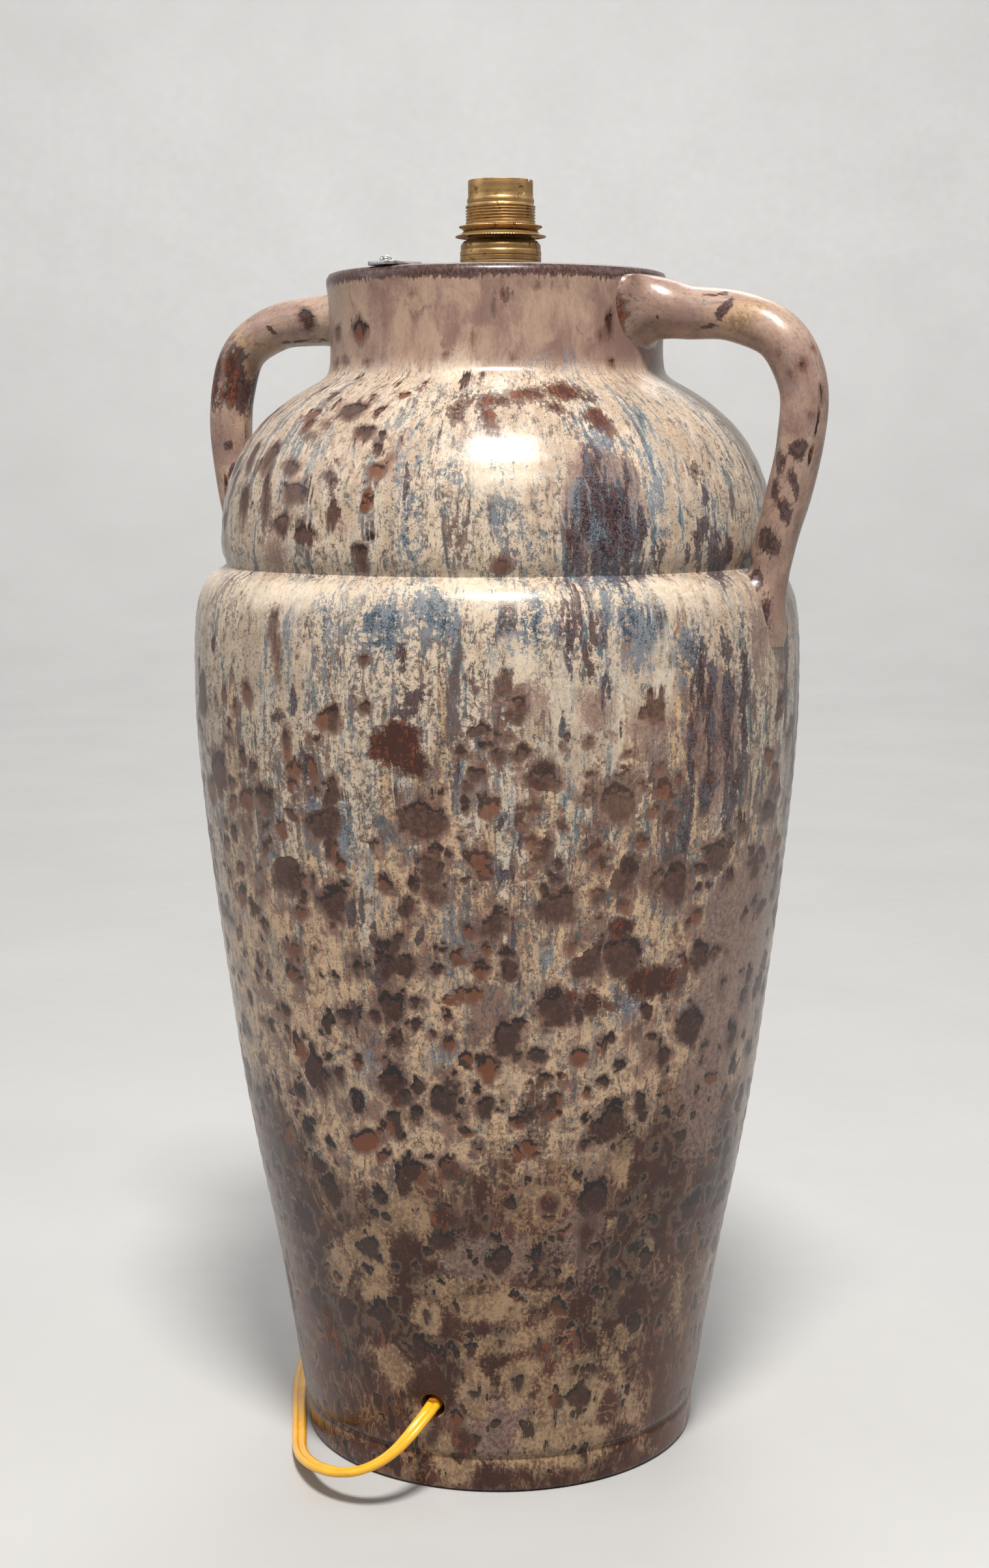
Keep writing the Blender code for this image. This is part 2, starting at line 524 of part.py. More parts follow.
ring_place = empty("shade_ring_axis", (HOLD_X, HOLD_Y, 0))
lathe("shade_ring_upper", [(474.95, RING_BORE), (474.95, 14.3), (475.4, 14.45), (476.0, 15.4), (476.25, RING_UP_R), (476.65, RING_UP_R),
                           (476.65, RING_BORE)], HOLD_SIDES, BRASS_OLD, parent=ring_place)
lathe("shade_ring_lower", [(473.5, RING_BORE), (474.6, RING_BORE), (474.6, 14.4), (473.8, 15.2), (472.9, RING_LOW_R), (472.45, RING_LOW_R),
                           (472.9, 15.6), (473.3, 14.4)], HOLD_SIDES, BRASS_OLD, parent=ring_place)

# ---------------------------------------------------------------- flex, inside and out
out_of_hole = polar(HOLE_AZ, 1.2)
tube("flex_inside", ROUTE_IN + [polar(HOLE_AZ, 80.9, HOLE_Z)], FLEX, 22.0, last=out_of_hole, fine=(7, 10.5))
tube("flex_lamp_side", [polar(HOLE_AZ, 81.2, HOLE_Z)] + ROUTE_OUT, FLEX, 12.5, first=out_of_hole, last=to_back((3.5, 0, 0)))
tube("flex_plug_side", [to_back(p) for p in ROUTE_TO_COIL], FLEX, 12.5, first=to_back((3.5, 0, 0)))
tube("flex_tail", [to_back(p) for p in ROUTE_TO_PLUG], FLEX, 9.0, last=to_back(polar(PLUG_TURN, 2.5)))

back = empty("back_place", (0, 0, 0), BACK_TURN)
coil_spot = empty("coil_place", (*COIL_AT, 0), 0, back)
c = 1.2
lathe("flex_coil", [(COIL_Z0, COIL_IN + c), (COIL_Z0, COIL_OUT - c), (COIL_Z0 + c, COIL_OUT), (COIL_Z1 - c, COIL_OUT),
                    (COIL_Z1, COIL_OUT - c), (COIL_Z1, COIL_IN + c), (COIL_Z1 - c, COIL_IN), (COIL_Z0 + c, COIL_IN)], 28, FLEX, parent=coil_spot)
# the tie: a band round the turns, on the side next to the vase
mid_r, mid_z = (COIL_OUT + COIL_IN) / 2, (COIL_Z0 + COIL_Z1) / 2
band = rounded(COIL_OUT - COIL_IN + 2.6, COIL_Z1 - COIL_Z0 + 2.0, 2.2, 3)
hole = rounded(COIL_OUT - COIL_IN + 0.8, COIL_Z1 - COIL_Z0 + 0.6, 1.2, 3)
loops = [[(w, -(mid_r + u), mid_z + v) for u, v in outline] for outline, w in ((band, -2.5), (band, 2.5), (hole, 2.5), (hole, -2.5))]
loft("coil_tie", loops, TIE, coil_spot, smooth=False, wrap=True)

# ---------------------------------------------------------------- in-line switch
SW_L, SW_W, SW_T, PART_Z, SW_TOP = 66.0, 27.0, 2.0, 9.0, 18.4
PIVOT_Z = 13.6
TILT = -8.0          # degrees: the end towards the lamp is pressed
sw = empty("switch_place", (*SWITCH_AT, 0), 0, back)


def ring_loop(inset, z):
    return [(x, y, z) for x, y in rounded(SW_L - 2 * inset, SW_W - 2 * inset, max(9.0 - inset, 1.5), 4)]


base = loft("switch_base", [ring_loop(1.4, 0.1), ring_loop(0, 1.5), ring_loop(0, PART_Z), ring_loop(SW_T, PART_Z), ring_loop(SW_T, 2.2)],
            PLASTIC, sw, angle=50)
cover = loft("switch_cover", [ring_loop(2.6, SW_TOP), ring_loop(0.7, SW_TOP - 1.0), ring_loop(0, SW_TOP - 3.0), ring_loop(0, PART_Z + GAP),
                              ring_loop(SW_T, PART_Z + GAP), ring_loop(SW_T + 0.4, SW_TOP - 2.0)], PLASTIC, sw, angle=50)
SCREWS = ((-22.0, 8.2), (22.0, -8.2))
for k, (x, y) in enumerate(SCREWS):
    cut(cover, rod("cover_boss_%d" % k, (x, y, PART_Z + GAP + 0.1), (x, y, 17.2), 2.8, 12, parent=sw), "UNION")
for k, s in enumerate((1, -1)):
    cut(cover, prism("cover_lug_%d" % k, [(-2.2, 11.6), (2.2, 11.6), (2.2, 17.0), (-2.2, 17.0)], 5.6 if s > 0 else -7.8, 7.8 if s > 0 else -5.6, None, axis="Y", parent=sw), "UNION")
for k, (x, y) in enumerate(SCREWS):
    cut(cover, rod("boss_hole_cutter_%d" % k, (x, y, 8.0), (x, y, 15.2), 1.5, 10, parent=sw))
    cut(base, rod("base_hole_cutter_%d" % k, (x, y, -1.0), (x, y, 4.0), 1.5, 10, parent=sw))
    cut(base, rod("base_counterbore_%d" % k, (x, y, -1.0), (x, y, 1.3), 2.8, 12, parent=sw))
    turned("switch_case_screw_" + "ab"[k], (x, y, 0.35), (0, 0, 1), [(0, 2.2), (0.6, 2.2), (0.65, 1.15), (13.6, 1.15), (14.2, 0.4)], 10, SCREW_STEEL, sw)
cut(cover, prism("rocker_window", [(-9.3, -5.35), (9.3, -5.35), (9.3, 5.35), (-9.3, 5.35)], 15.5, 20, None, parent=sw))
cut(cover, rod("pin_hole_cutter", (0, -7.5, PIVOT_Z), (0, 7.5, PIVOT_Z), 1.1, 10, parent=sw))
for s in (1, -1):
    for o, n in ((base, "base"), (cover, "cover")):
        cut(o, rod("entry_cutter_%s_%d" % (n, s), (s * 28.5, 0, 9.15), (s * 36.0, 0, 9.15), 3.25, 12, parent=sw))

pivot = empty("switch_rocker_axis", (0, 0, PIVOT_Z), 0, sw)
pivot.rotation_euler = (0, math.radians(TILT), 0)
rocker = prism("switch_rocker", [(-8.2, 5.6), (-8.2, 1.0), (-5.0, -3.6), (5.0, -3.6), (8.2, 1.0), (8.2, 5.6), (4.2, 4.7), (0, 4.3), (-4.2, 4.7)],
               -4.95, 4.95, ROCKER, axis="Y", parent=pivot)
cut(rocker, rod("rocker_hole_cutter", (0, -6, 0), (0, 6, 0), 1.1, 10, parent=pivot))
prism("rocker_contact", [(-1.5, -4.9), (9.5, -4.9), (9.5, -4.3), (1.5, -3.9), (-1.5, -3.9)], -2.0, 2.0, BRASS, axis="Y", parent=pivot)
rod("rocker_pin", (0, -7.2, PIVOT_Z), (0, 7.2, PIVOT_Z), 0.8, 10, SCREW_STEEL, sw)
for side, s in (("in", -1), ("out", 1)):
    pts = [(24, 2.6), (8, 2.6), (8, 6.9), (11, 6.9), (11, 3.6), (18, 3.6), (18, 7.0), (24, 7.0)] if s > 0 else \
          [(24, 2.6), (-1, 2.6), (-1, 8.1), (2, 8.1), (2, 3.6), (18, 3.6), (18, 7.0), (24, 7.0)]
    strip = prism("switch_contact_" + side, [(s * x, z) for x, z in pts], -3.0, 3.0, BRASS, axis="Y", parent=sw)
    cut(strip, rod("strip_hole_cutter_" + side, (s * 21, 0, 4.0), (s * 21, 0, 9), 1.4, 10, parent=sw))
    turned("switch_terminal_screw_" + side, (s * 21, 0, 4.4), (0, 0, 1), [(0, 0.8), (0.3, 1.05), (2.9, 1.05), (2.95, 1.9), (4.2, 1.9)], 10, SCREW_STEEL, sw)

# ---------------------------------------------------------------- plug
plug = empty("plug_place", (*PLUG_AT, PLUG_Z), PLUG_TURN, back)


def section(x, wide, high, power=3.2, count=16):
    out = []
    for k in range(count):
        a = 2 * math.pi * k / count
        cs, sn = math.cos(a), math.sin(a)
        out.append((x, wide / 2 * math.copysign(abs(cs) ** (2 / power), cs), high / 2 * math.copysign(abs(sn) ** (2 / power), sn)))
    return out


loft("plug_body", [section(0, 7.4, 6.0, 2.2), section(9, 8.2, 7.0, 2.2), section(20, 9.4, 8.6, 2.4), section(23, 13.0, 11.2, 2.8),
                   section(29, 20.0, 13.0, 3.0), section(41, 31.0, 13.7), section(51, 35.3, 13.7), section(56.2, 35.3, 13.7), section(57, 34.0, 12.6)],
     PLUG, plug)
for side, s in (("left", 1), ("right", -1)):
    turned("plug_pin_" + side, (57.3, s * 9.3, 0), (1, 0, 0), [(0, 1.9), (9.8, 1.9), (10.0, 2.0), (17.6, 2.0), (18.6, 1.5), (19.0, 0.0)], 12, BRASS, plug)
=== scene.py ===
import math
import random

import bmesh
import bpy
import numpy as np
from mathutils import Matrix, Vector


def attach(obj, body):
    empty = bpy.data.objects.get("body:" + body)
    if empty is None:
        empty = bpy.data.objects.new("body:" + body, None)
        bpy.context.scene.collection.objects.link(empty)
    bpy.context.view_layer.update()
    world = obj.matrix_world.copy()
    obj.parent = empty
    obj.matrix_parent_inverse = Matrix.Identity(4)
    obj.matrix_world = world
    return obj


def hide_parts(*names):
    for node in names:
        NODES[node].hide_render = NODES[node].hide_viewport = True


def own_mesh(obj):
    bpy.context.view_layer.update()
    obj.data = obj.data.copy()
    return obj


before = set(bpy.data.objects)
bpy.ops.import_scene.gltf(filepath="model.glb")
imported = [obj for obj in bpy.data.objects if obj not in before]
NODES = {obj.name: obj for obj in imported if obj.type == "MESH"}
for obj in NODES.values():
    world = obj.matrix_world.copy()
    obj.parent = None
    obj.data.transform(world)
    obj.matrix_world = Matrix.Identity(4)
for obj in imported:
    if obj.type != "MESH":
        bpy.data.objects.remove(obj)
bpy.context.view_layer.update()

MM = 0.001
scene = bpy.context.scene


# ---------------------------------------------------------------- helpers
def polar(az, r, z=0.0):
    a = math.radians(az)
    return Vector((r * math.cos(a), r * math.sin(a), z))


BACK_TURN = 29.0


def to_back(p):
    """A point of the frame at the back of the lamp, in the lamp's own frame."""
    a = math.radians(BACK_TURN)
    return Vector((p[0] * math.cos(a) - p[1] * math.sin(a), p[0] * math.sin(a) + p[1] * math.cos(a), p[2]))


def spline(points, per):
    """A smooth curve through the points, with per steps between each two of them (centripetal Catmull-Rom)."""
    P = [Vector(p) for p in points]
    P = [P[0] * 2 - P[1]] + P + [P[-1] * 2 - P[-2]]
    out = []
    for i in range(1, len(P) - 2):
        p0, p1, p2, p3 = P[i - 1:i + 3]
        t1 = max((p1 - p0).length, 1e-9) ** 0.5
        t2 = t1 + max((p2 - p1).length, 1e-9) ** 0.5
        t3 = t2 + max((p3 - p2).length, 1e-9) ** 0.5
        for s in range(per):
            t = t1 + (t2 - t1) * s / per
            a1 = p0 * ((t1 - t) / t1) + p1 * (t / t1)
            a2 = p1 * ((t2 - t) / (t2 - t1)) + p2 * ((t - t1) / (t2 - t1))
            a3 = p2 * ((t3 - t) / (t3 - t2)) + p3 * ((t - t2) / (t3 - t2))
            b1 = a1 * ((t2 - t) / t2) + a2 * (t / t2)
            b2 = a2 * ((t3 - t) / (t3 - t1)) + a3 * ((t - t1) / (t3 - t1))
            out.append(b1 * ((t2 - t) / (t2 - t1)) + b2 * ((t - t1) / (t2 - t1)))
    out.append(P[-2].copy())
    return out


def even(points, step):
    """The same curve with points equally far apart, about step."""
    along = [0.0]
    for a, b in zip(points[:-1], points[1:]):
        along.append(along[-1] + (b - a).length)
    n = max(2, round(along[-1] / step))
    out, j = [], 0
    for k in range(n + 1):
        s = along[-1] * k / n
        while j < len(along) - 2 and along[j + 1] < s:
            j += 1
        f = (s - along[j]) / max(along[j + 1] - along[j], 1e-12)
        out.append(points[j].lerp(points[j + 1], min(max(f, 0.0), 1.0)))
    return out


def smooth(t):
    t = min(max(t, 0.0), 1.0)
    return t * t * (3 - 2 * t)


def put(bm, name, mat, body, angle=35.0, mats=None):
    """Makes an object of a bmesh in metres, shades it smooth and lets it ride on a body."""
    bmesh.ops.recalc_face_normals(bm, faces=bm.faces[:])
    me = bpy.data.meshes.new(name)
    bm.to_mesh(me)
    bm.free()
    me.shade_smooth()
    me.set_sharp_from_angle(angle=math.radians(angle))
    o = bpy.data.objects.new(name, me)
    scene.collection.objects.link(o)
    for m in (mats or [mat]):
        me.materials.append(m)
    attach(o, body)
    return o


def skin(rows, ends=True, wrap=False):
    """A bmesh through loops of equal count, in millimetres."""
    bm = bmesh.new()
    vr = [[bm.verts.new(Vector(p) * MM) for p in row] for row in rows]
    n = len(vr[0])
    for j in range(len(vr) if wrap else len(vr) - 1):
        a, b = vr[j], vr[(j + 1) % len(vr)]
        for k in range(n):
            bm.faces.new((a[k], a[(k + 1) % n], b[(k + 1) % n], b[k]))
    if ends and not wrap:
        bm.faces.new(vr[0])
        bm.faces.new(vr[-1])
    return bm


def rounded(length, width, radius, steps=6):
    out = []
    for sx, sy, a0 in ((1, 1, 0), (-1, 1, 90), (-1, -1, 180), (1, -1, 270)):
        for k in range(steps + 1):
            a = math.radians(a0 + 90 * k / steps)
            out.append((sx * (length / 2 - radius) + radius * math.cos(a), sy * (width / 2 - radius) + radius * math.sin(a)))
    return out


# ---------------------------------------------------------------- camera
YAW, PITCH, ROLL = math.radians(-0.083), math.radians(8.523), math.radians(-0.159)
right0 = Vector((math.cos(YAW), -math.sin(YAW), 0))
fwd = Vector((math.cos(PITCH) * math.sin(YAW), math.cos(PITCH) * math.cos(YAW), -math.sin(PITCH)))
up0 = Vector((math.sin(PITCH) * math.sin(YAW), math.sin(PITCH) * math.cos(YAW), math.cos(PITCH)))
cam_right = right0 * math.cos(ROLL) + up0 * math.sin(ROLL)
cam_up = up0 * math.cos(ROLL) - right0 * math.sin(ROLL)
turn = Matrix.Rotation(math.radians(29.0), 3, "Z")
cam_right, cam_up, back = turn @ cam_right, turn @ cam_up, turn @ (-fwd)
cam_data = bpy.data.cameras.new("camera")
cam = bpy.data.objects.new("camera", cam_data)
scene.collection.objects.link(cam)
cam.matrix_world = Matrix(((cam_right.x, cam_up.x, back.x, 0.44175), (cam_right.y, cam_up.y, back.y, -0.79693),
                           (cam_right.z, cam_up.z, back.z, 0.39735), (0, 0, 0, 1)))
cam_data.sensor_fit = "VERTICAL"
cam_data.sensor_height = 36.0
cam_data.lens = 53.33
cam_data.clip_start, cam_data.clip_end = 0.02, 30.0
scene.camera = cam


# ---------------------------------------------------------------- node material helpers
class Mat:
    """A small builder of node trees."""

    def __init__(self, name):
        self.m = bpy.data.materials.new(name)
        self.m.use_nodes = True
        self.t = self.m.node_tree
        self.bsdf = self.t.nodes["Principled BSDF"]

    def link(self, a, b):
        self.t.links.new(a, b)

    def set(self, name, value):
        self.bsdf.inputs[name].default_value = value

    def into(self, sock, v):
        if isinstance(v, (int, float)):
            sock.default_value = v
        elif isinstance(v, tuple):
            sock.default_value = (*v, 1.0) if len(v) == 3 and sock.type == "RGBA" else v
        else:
            self.link(v, sock)

    def attr(self, name, out="Vector"):
        n = self.t.nodes.new("ShaderNodeAttribute")
        n.attribute_name = name
        return n if out is None else n.outputs[out]

    def coord(self):
        return self.t.nodes.new("ShaderNodeTexCoord").outputs["Object"]

    def math(self, op, a, b=0.0, c=None, clamp=False):
        n = self.t.nodes.new("ShaderNodeMath")
        n.operation = op
        n.use_clamp = clamp
        self.into(n.inputs[0], a)
        self.into(n.inputs[1], b)
        if c is not None:
            self.into(n.inputs[2], c)
        return n.outputs[0]

    def scale(self, vec, s, add=(0, 0, 0)):
        n = self.t.nodes.new("ShaderNodeVectorMath")
        n.operation = "MULTIPLY_ADD"
        self.into(n.inputs[0], vec)
        n.inputs[1].default_value = s
        n.inputs[2].default_value = add
        return n.outputs[0]

    def vadd(self, a, b):
        n = self.t.nodes.new("ShaderNodeVectorMath")
        n.operation = "ADD"
        self.into(n.inputs[0], a)
        self.into(n.inputs[1], b)
        return n.outputs[0]

    def noise(self, vec, scale, detail=2.0, rough=0.5, dist=0.0, colour=False):
        n = self.t.nodes.new("ShaderNodeTexNoise")
        self.link(vec, n.inputs["Vector"])
        n.inputs["Scale"].default_value = scale
        n.inputs["Detail"].default_value = detail
        n.inputs["Roughness"].default_value = rough
        n.inputs["Distortion"].default_value = dist
        return n.outputs["Color" if colour else "Fac"]

    def voronoi(self, vec, scale, feature="F1", out="Distance", rand=1.0):
        n = self.t.nodes.new("ShaderNodeTexVoronoi")
        n.feature = feature
        self.link(vec, n.inputs["Vector"])
        n.inputs["Scale"].default_value = scale
        n.inputs["Randomness"].default_value = rand
        return n.outputs[out]

    def step(self, v, low, high):
        """A smooth step of v from 0 at low to 1 at high."""
        n = self.t.nodes.new("ShaderNodeMapRange")
        n.interpolation_type = "SMOOTHSTEP"
        n.clamp = True
        self.into(n.inputs["Value"], v)
        if low < high:
            n.inputs["From Min"].default_value, n.inputs["From Max"].default_value = low, high
        else:
            n.inputs["From Min"].default_value, n.inputs["From Max"].default_value = high, low
            n.inputs["To Min"].default_value, n.inputs["To Max"].default_value = 1.0, 0.0
        return n.outputs["Result"]

    def rng(self, v, a, b, c, d):
        n = self.t.nodes.new("ShaderNodeMapRange")
        n.clamp = True
        self.into(n.inputs["Value"], v)
        for k, x in zip(("From Min", "From Max", "To Min", "To Max"), (a, b, c, d)):
            n.inputs[k].default_value = x
        return n.outputs["Result"]

    def mix(self, fac, a, b):
        n = self.t.nodes.new("ShaderNodeMix")
        n.data_type = "RGBA"
        self.into(n.inputs[0], fac)
        self.into(n.inputs[6], a)
        self.into(n.inputs[7], b)
        return n.outputs[2]

    def ramp(self, v, stops):
        n = self.t.nodes.new("ShaderNodeValToRGB")
        e = n.color_ramp.elements
        while len(e) < len(stops):
            e.new(0.5)
        for q, (p, c) in zip(e, stops):
            q.position = p
            q.color = (*c, 1.0)
        self.link(v, n.inputs[0])
        return n.outputs[0]

    def sep(self, v):
        n = self.t.nodes.new("ShaderNodeSeparateXYZ")
        self.link(v, n.inputs[0])
        return n.outputs

    def bump(self, height, strength, distance):
        n = self.t.nodes.new("ShaderNodeBump")
        self.link(height, n.inputs["Height"])
        n.inputs["Strength"].default_value = strength
        n.inputs["Distance"].default_value = distance
        self.link(n.outputs["Normal"], self.bsdf.inputs["Normal"])
        return n


# ---------------------------------------------------------------- materials of the small parts
def flex_material():
    m = Mat("yellow_flex")
    p = m.coord()
    big = m.noise(p, 60, 3, 0.6)
    fine = m.noise(p, 900, 2, 0.6)
    c = m.ramp(big, [(0.25, (0.74, 0.335, 0.008)), (0.75, (0.86, 0.455, 0.022))])
    dirt = m.step(m.noise(p, 210, 3, 0.7), 0.60, 0.74)
    c = m.mix(m.math("MULTIPLY", dirt, 0.35), c, (0.45, 0.22, 0.02))
    m.into(m.bsdf.inputs["Base Color"], c)
    m.into(m.bsdf.inputs["Roughness"], m.rng(big, 0.3, 0.7, 0.24, 0.36))
    m.set("Specular IOR Level", 0.5)
    m.set("Coat Weight", 0.25)
    m.set("Coat Roughness", 0.12)
    m.bump(m.math("ADD", fine, m.math("MULTIPLY", big, 2.0)), 0.25, 0.0003)
    return m.m


def plastic_material(name, dark, light, rough, grain=700.0):
    m = Mat(name)
    p = m.coord()
    big = m.noise(p, 35, 4, 0.6)
    fine = m.noise(p, grain, 3, 0.6)
    c = m.ramp(big, [(0.3, dark), (0.7, light)])
    specks = m.step(m.noise(p, 420, 2, 0.5), 0.66, 0.72)
    c = m.mix(m.math("MULTIPLY", specks, 0.25), c, tuple(v * 0.45 for v in dark))
    m.into(m.bsdf.inputs["Base Color"], c)
    m.into(m.bsdf.inputs["Roughness"], m.rng(fine, 0.3, 0.7, rough - 0.06, rough + 0.08))
    m.bump(fine, 0.12, 0.00015)
    return m.m


def metal_material(name, dark, light, stain, rough, stain_at=0.58, metallic=1.0, ring=True):
    """Turned metal with fine tool rings and blotchy stains of patina."""
    m = Mat(name)
    p = m.coord()
    turned = m.scale(p, (18.0, 18.0, 2600.0)) if ring else m.scale(p, (500.0, 500.0, 500.0))
    rings = m.noise(turned, 1.0, 3, 0.7)
    big = m.noise(p, 130, 4, 0.65)
    fine = m.noise(p, 1500, 3, 0.65)
    c = m.ramp(big, [(0.3, dark), (0.72, light)])
    c = m.mix(m.math("MULTIPLY", m.step(rings, 0.35, 0.7), 0.35), c, tuple(min(1.0, v * 1.35) for v in light))
    blot = m.step(m.math("ADD", m.noise(p, 260, 4, 0.7), m.math("MULTIPLY", fine, 0.12)), stain_at, stain_at + 0.14)
    c = m.mix(m.math("MULTIPLY", blot, 0.75), c, stain)
    m.into(m.bsdf.inputs["Base Color"], c)
    m.set("Metallic", metallic)
    r = m.math("ADD", m.rng(rings, 0.3, 0.7, rough - 0.08, rough + 0.08), m.math("MULTIPLY", blot, 0.25))
    m.into(m.bsdf.inputs["Roughness"], r)
    m.bump(m.math("ADD", m.math("MULTIPLY", rings, 0.7), m.math("MULTIPLY", fine, 0.3)), 0.25, 0.0001)
    return m.m


FLEX = flex_material()
IVORY = plastic_material("ivory_plastic", (0.62, 0.55, 0.40), (0.76, 0.70, 0.55), 0.34)
PLUG_M = plastic_material("plug_plastic", (0.66, 0.60, 0.48), (0.78, 0.73, 0.62), 0.38)
BROWN = plastic_material("brown_plastic", (0.055, 0.028, 0.016), (0.10, 0.055, 0.03), 0.3)
TIE_M = plastic_material("tie_plastic", (0.012, 0.012, 0.013), (0.03, 0.03, 0.032), 0.5, 1100)
INSUL = plastic_material("insulator", (0.50, 0.45, 0.36), (0.68, 0.63, 0.52), 0.42)
FIBRE = plastic_material("fibre_plug", (0.20, 0.12, 0.07), (0.42, 0.30, 0.20), 0.8, 1300)
OLD_BRASS = metal_material("aged_brass", (0.27, 0.150, 0.058), (0.53, 0.335, 0.145), (0.085, 0.048, 0.026), 0.40, 0.58, 0.85)
BRASS = metal_material("brass", (0.50, 0.33, 0.12), (0.78, 0.56, 0.24), (0.26, 0.15, 0.05), 0.28, 0.62)
STEEL = metal_material("zinc_steel", (0.42, 0.42, 0.41), (0.66, 0.66, 0.65), (0.30, 0.22, 0.15), 0.36, 0.64, ring=False)
SCREW = metal_material("screw_steel", (0.55, 0.55, 0.54), (0.82, 0.82, 0.81), (0.32, 0.27, 0.22), 0.20, 0.66, ring=False)
SPRING = metal_material("spring_steel", (0.34, 0.34, 0.34), (0.56, 0.56, 0.55), (0.20, 0.14, 0.10), 0.30, 0.64, ring=False)

# ---------------------------------------------------------------- flex
FLEX_W, LOBE = 5.8, 1.45
LOOP = []
for side in (1, -1):
    for k in range(11):
        a = math.radians(-150 + 30 * k) if side > 0 else math.radians(30 + 30 * k)
        LOOP.append((side * LOBE + LOBE * math.cos(a), LOBE * math.sin(a)))


def ribbon(name, pts, widths, body="lamp"):
    """A flat two-core flex along points (mm), with its broad side along the given width directions."""
    rows = []
    n = len(pts)
    for i, p in enumerate(pts):
        t = (pts[min(i + 1, n - 1)] - pts[max(i - 1, 0)]).normalized()
        w = widths[i]
        w = (w - t * w.dot(t)).normalized()
        h = t.cross(w)
        rows.append([p + w * x + h * y for x, y in LOOP])
    return put(skin(rows), name, FLEX, body, 50.0)


def level(t):
    w = Vector((t.y, -t.x, 0.0))
    return w.normalized() if w.length > 1e-6 else Vector((1, 0, 0))


# from the hole round the left of the foot to the switch, lying on its flat side
HOLE_AZ, HOLE_Z = -79.1, 34.8
ROUTE_OUT = [(15.6, -83.6, 33.7), (14.9, -89.0, 31.1), (13.3, -94.0, 27.6),
             (10.3, -98.4, 23.3), (5.4, -102.1, 19.0), (-1.7, -104.4, 15.1), (-11.6, -104.1, 12.0),
             (-22.4, -100.2, 9.7), (-35.3, -90.7, 7.2), (-46.3, -78.3, 4.8), (-56.9, -63.0, 3.3),
             (-66.0, -49.3, 3.1), (-76.9, -33.0, 3.1), (-87.6, -15.6, 3.1),
             (-94.8, -1.9, 3.1), (-102.5, 14.0, 3.1), (-107.4, 31.0, 3.1), (-108.0, 47.0, 3.6),
             (-104.0, 61.0, 5.4), (-98.2, 70.6, 7.8), (-94.3, 75.9, 9.1), (-92.6, 76.8, 9.15)]
route = [Vector(p) for p in ROUTE_OUT]
for p in route:
    p.z -= 1.5 * (1 - smooth((p.z - 3.1) / 7.0))
inner = [polar(HOLE_AZ, 75.5, HOLE_Z), polar(HOLE_AZ, 78.5, HOLE_Z), polar(HOLE_AZ, 81.2, HOLE_Z)]
lead = even(spline(inner + route, 16), 2.2)
widths = [level(lead[min(i + 1, len(lead) - 1)] - lead[max(i - 1, 0)]) for i in range(len(lead))]
cord_a = ribbon("flex_to_switch", lead, widths)
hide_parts("flex_lamp_side")
lead_len = sum((b - a).length for a, b in zip(lead[:-1], lead[1:]))

# from the switch into the coil and on to the plug
ROUTE_TO_COIL = [(15.3, 112.0, 9.15), (16.3, 112.0, 9.15), (19.5, 112.0, 9.1), (28, 112.3, 7.6), (40, 114.6, 4.8), (54, 120.0, 3.3),
                 (67, 129.0, 3.1), (77.5, 141.5, 3.1), (83.6, 153.0, 3.2)]
COIL_AT = (46.0, 166.0)
TRACKS = [34.4, 31.4, 28.4, 25.4]


def coil_point(deg):
    """Where the flex is after turning deg about the coil's middle; it starts at -4 degrees."""
    turnno, a = divmod(deg, 360.0)
    turnno = int(turnno)
    z = 3.6
    if deg < 40:
        r = 39.9 - 5.5 * smooth((deg + 4) / 44.0)
        z = 3.1 + 0.5 * smooth((deg + 4) / 44.0)
    elif deg < 3 * 360 + 356:
        shift = smooth((a - 316) / 40.0)
        i = min(turnno, 3)
        r = TRACKS[i] + (TRACKS[min(i + 1, 3)] - TRACKS[i]) * (shift if i < 3 else 0.0)
        if i == 3:
            z = 3.6 + 5.9 * smooth((a - 250) / 106.0)
    else:
        z = 9.5
        i = turnno - 4
        shift = smooth((a - 270) / 40.0)
        lo = max(0, min(3, 3 - i))
        hi = max(0, min(3, 2 - i))
        r = TRACKS[lo] + (TRACKS[hi] - TRACKS[lo]) * shift
        if deg > 7 * 360 + 55:
            s = smooth((deg - 7 * 360 - 55) / 45.0)
            r += (40.1 - TRACKS[0]) * s
            z = 9.5 - 0.7 * s
    q = math.radians(deg)
    return Vector((COIL_AT[0] + r * math.cos(q), COIL_AT[1] + r * math.sin(q), z))


turns = [coil_point(d) for d in np.arange(0.0, 7 * 360 + 98.0, 7.5)]
ROUTE_TO_PLUG = [(30.0, 205.6, 7.8), (18.0, 203.6, 6.95), (10.0, 201.1, 6.95), (4.3, 199.12, 6.95)]
whole = spline([Vector(p) for p in ROUTE_TO_COIL] + turns + [Vector(p) for p in ROUTE_TO_PLUG], 6)
far = [to_back(p) for p in even(whole, 2.6)]
along = [0.0]
for a, b in zip(far[:-1], far[1:]):
    along.append(along[-1] + (b - a).length)
total = along[-1]
widths = []
for i, p in enumerate(far):
    t = (far[min(i + 1, len(far) - 1)] - far[max(i - 1, 0)]).normalized()
    flat = level(t)
    edge = Vector((0, 0, 1))
    q = smooth((along[i] - 14.0) / 42.0) * (1 - smooth((along[i] - (total - 52.0)) / 40.0))
    ang = q * math.pi / 2
    widths.append(flat * math.cos(ang) + edge * math.sin(ang))
cord_b = ribbon("flex_to_plug", far, widths)
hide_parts("flex_plug_side", "flex_coil", "flex_tail")
print("flex: hole to switch %.1f mm, switch to plug %.1f mm" % (lead_len, total))

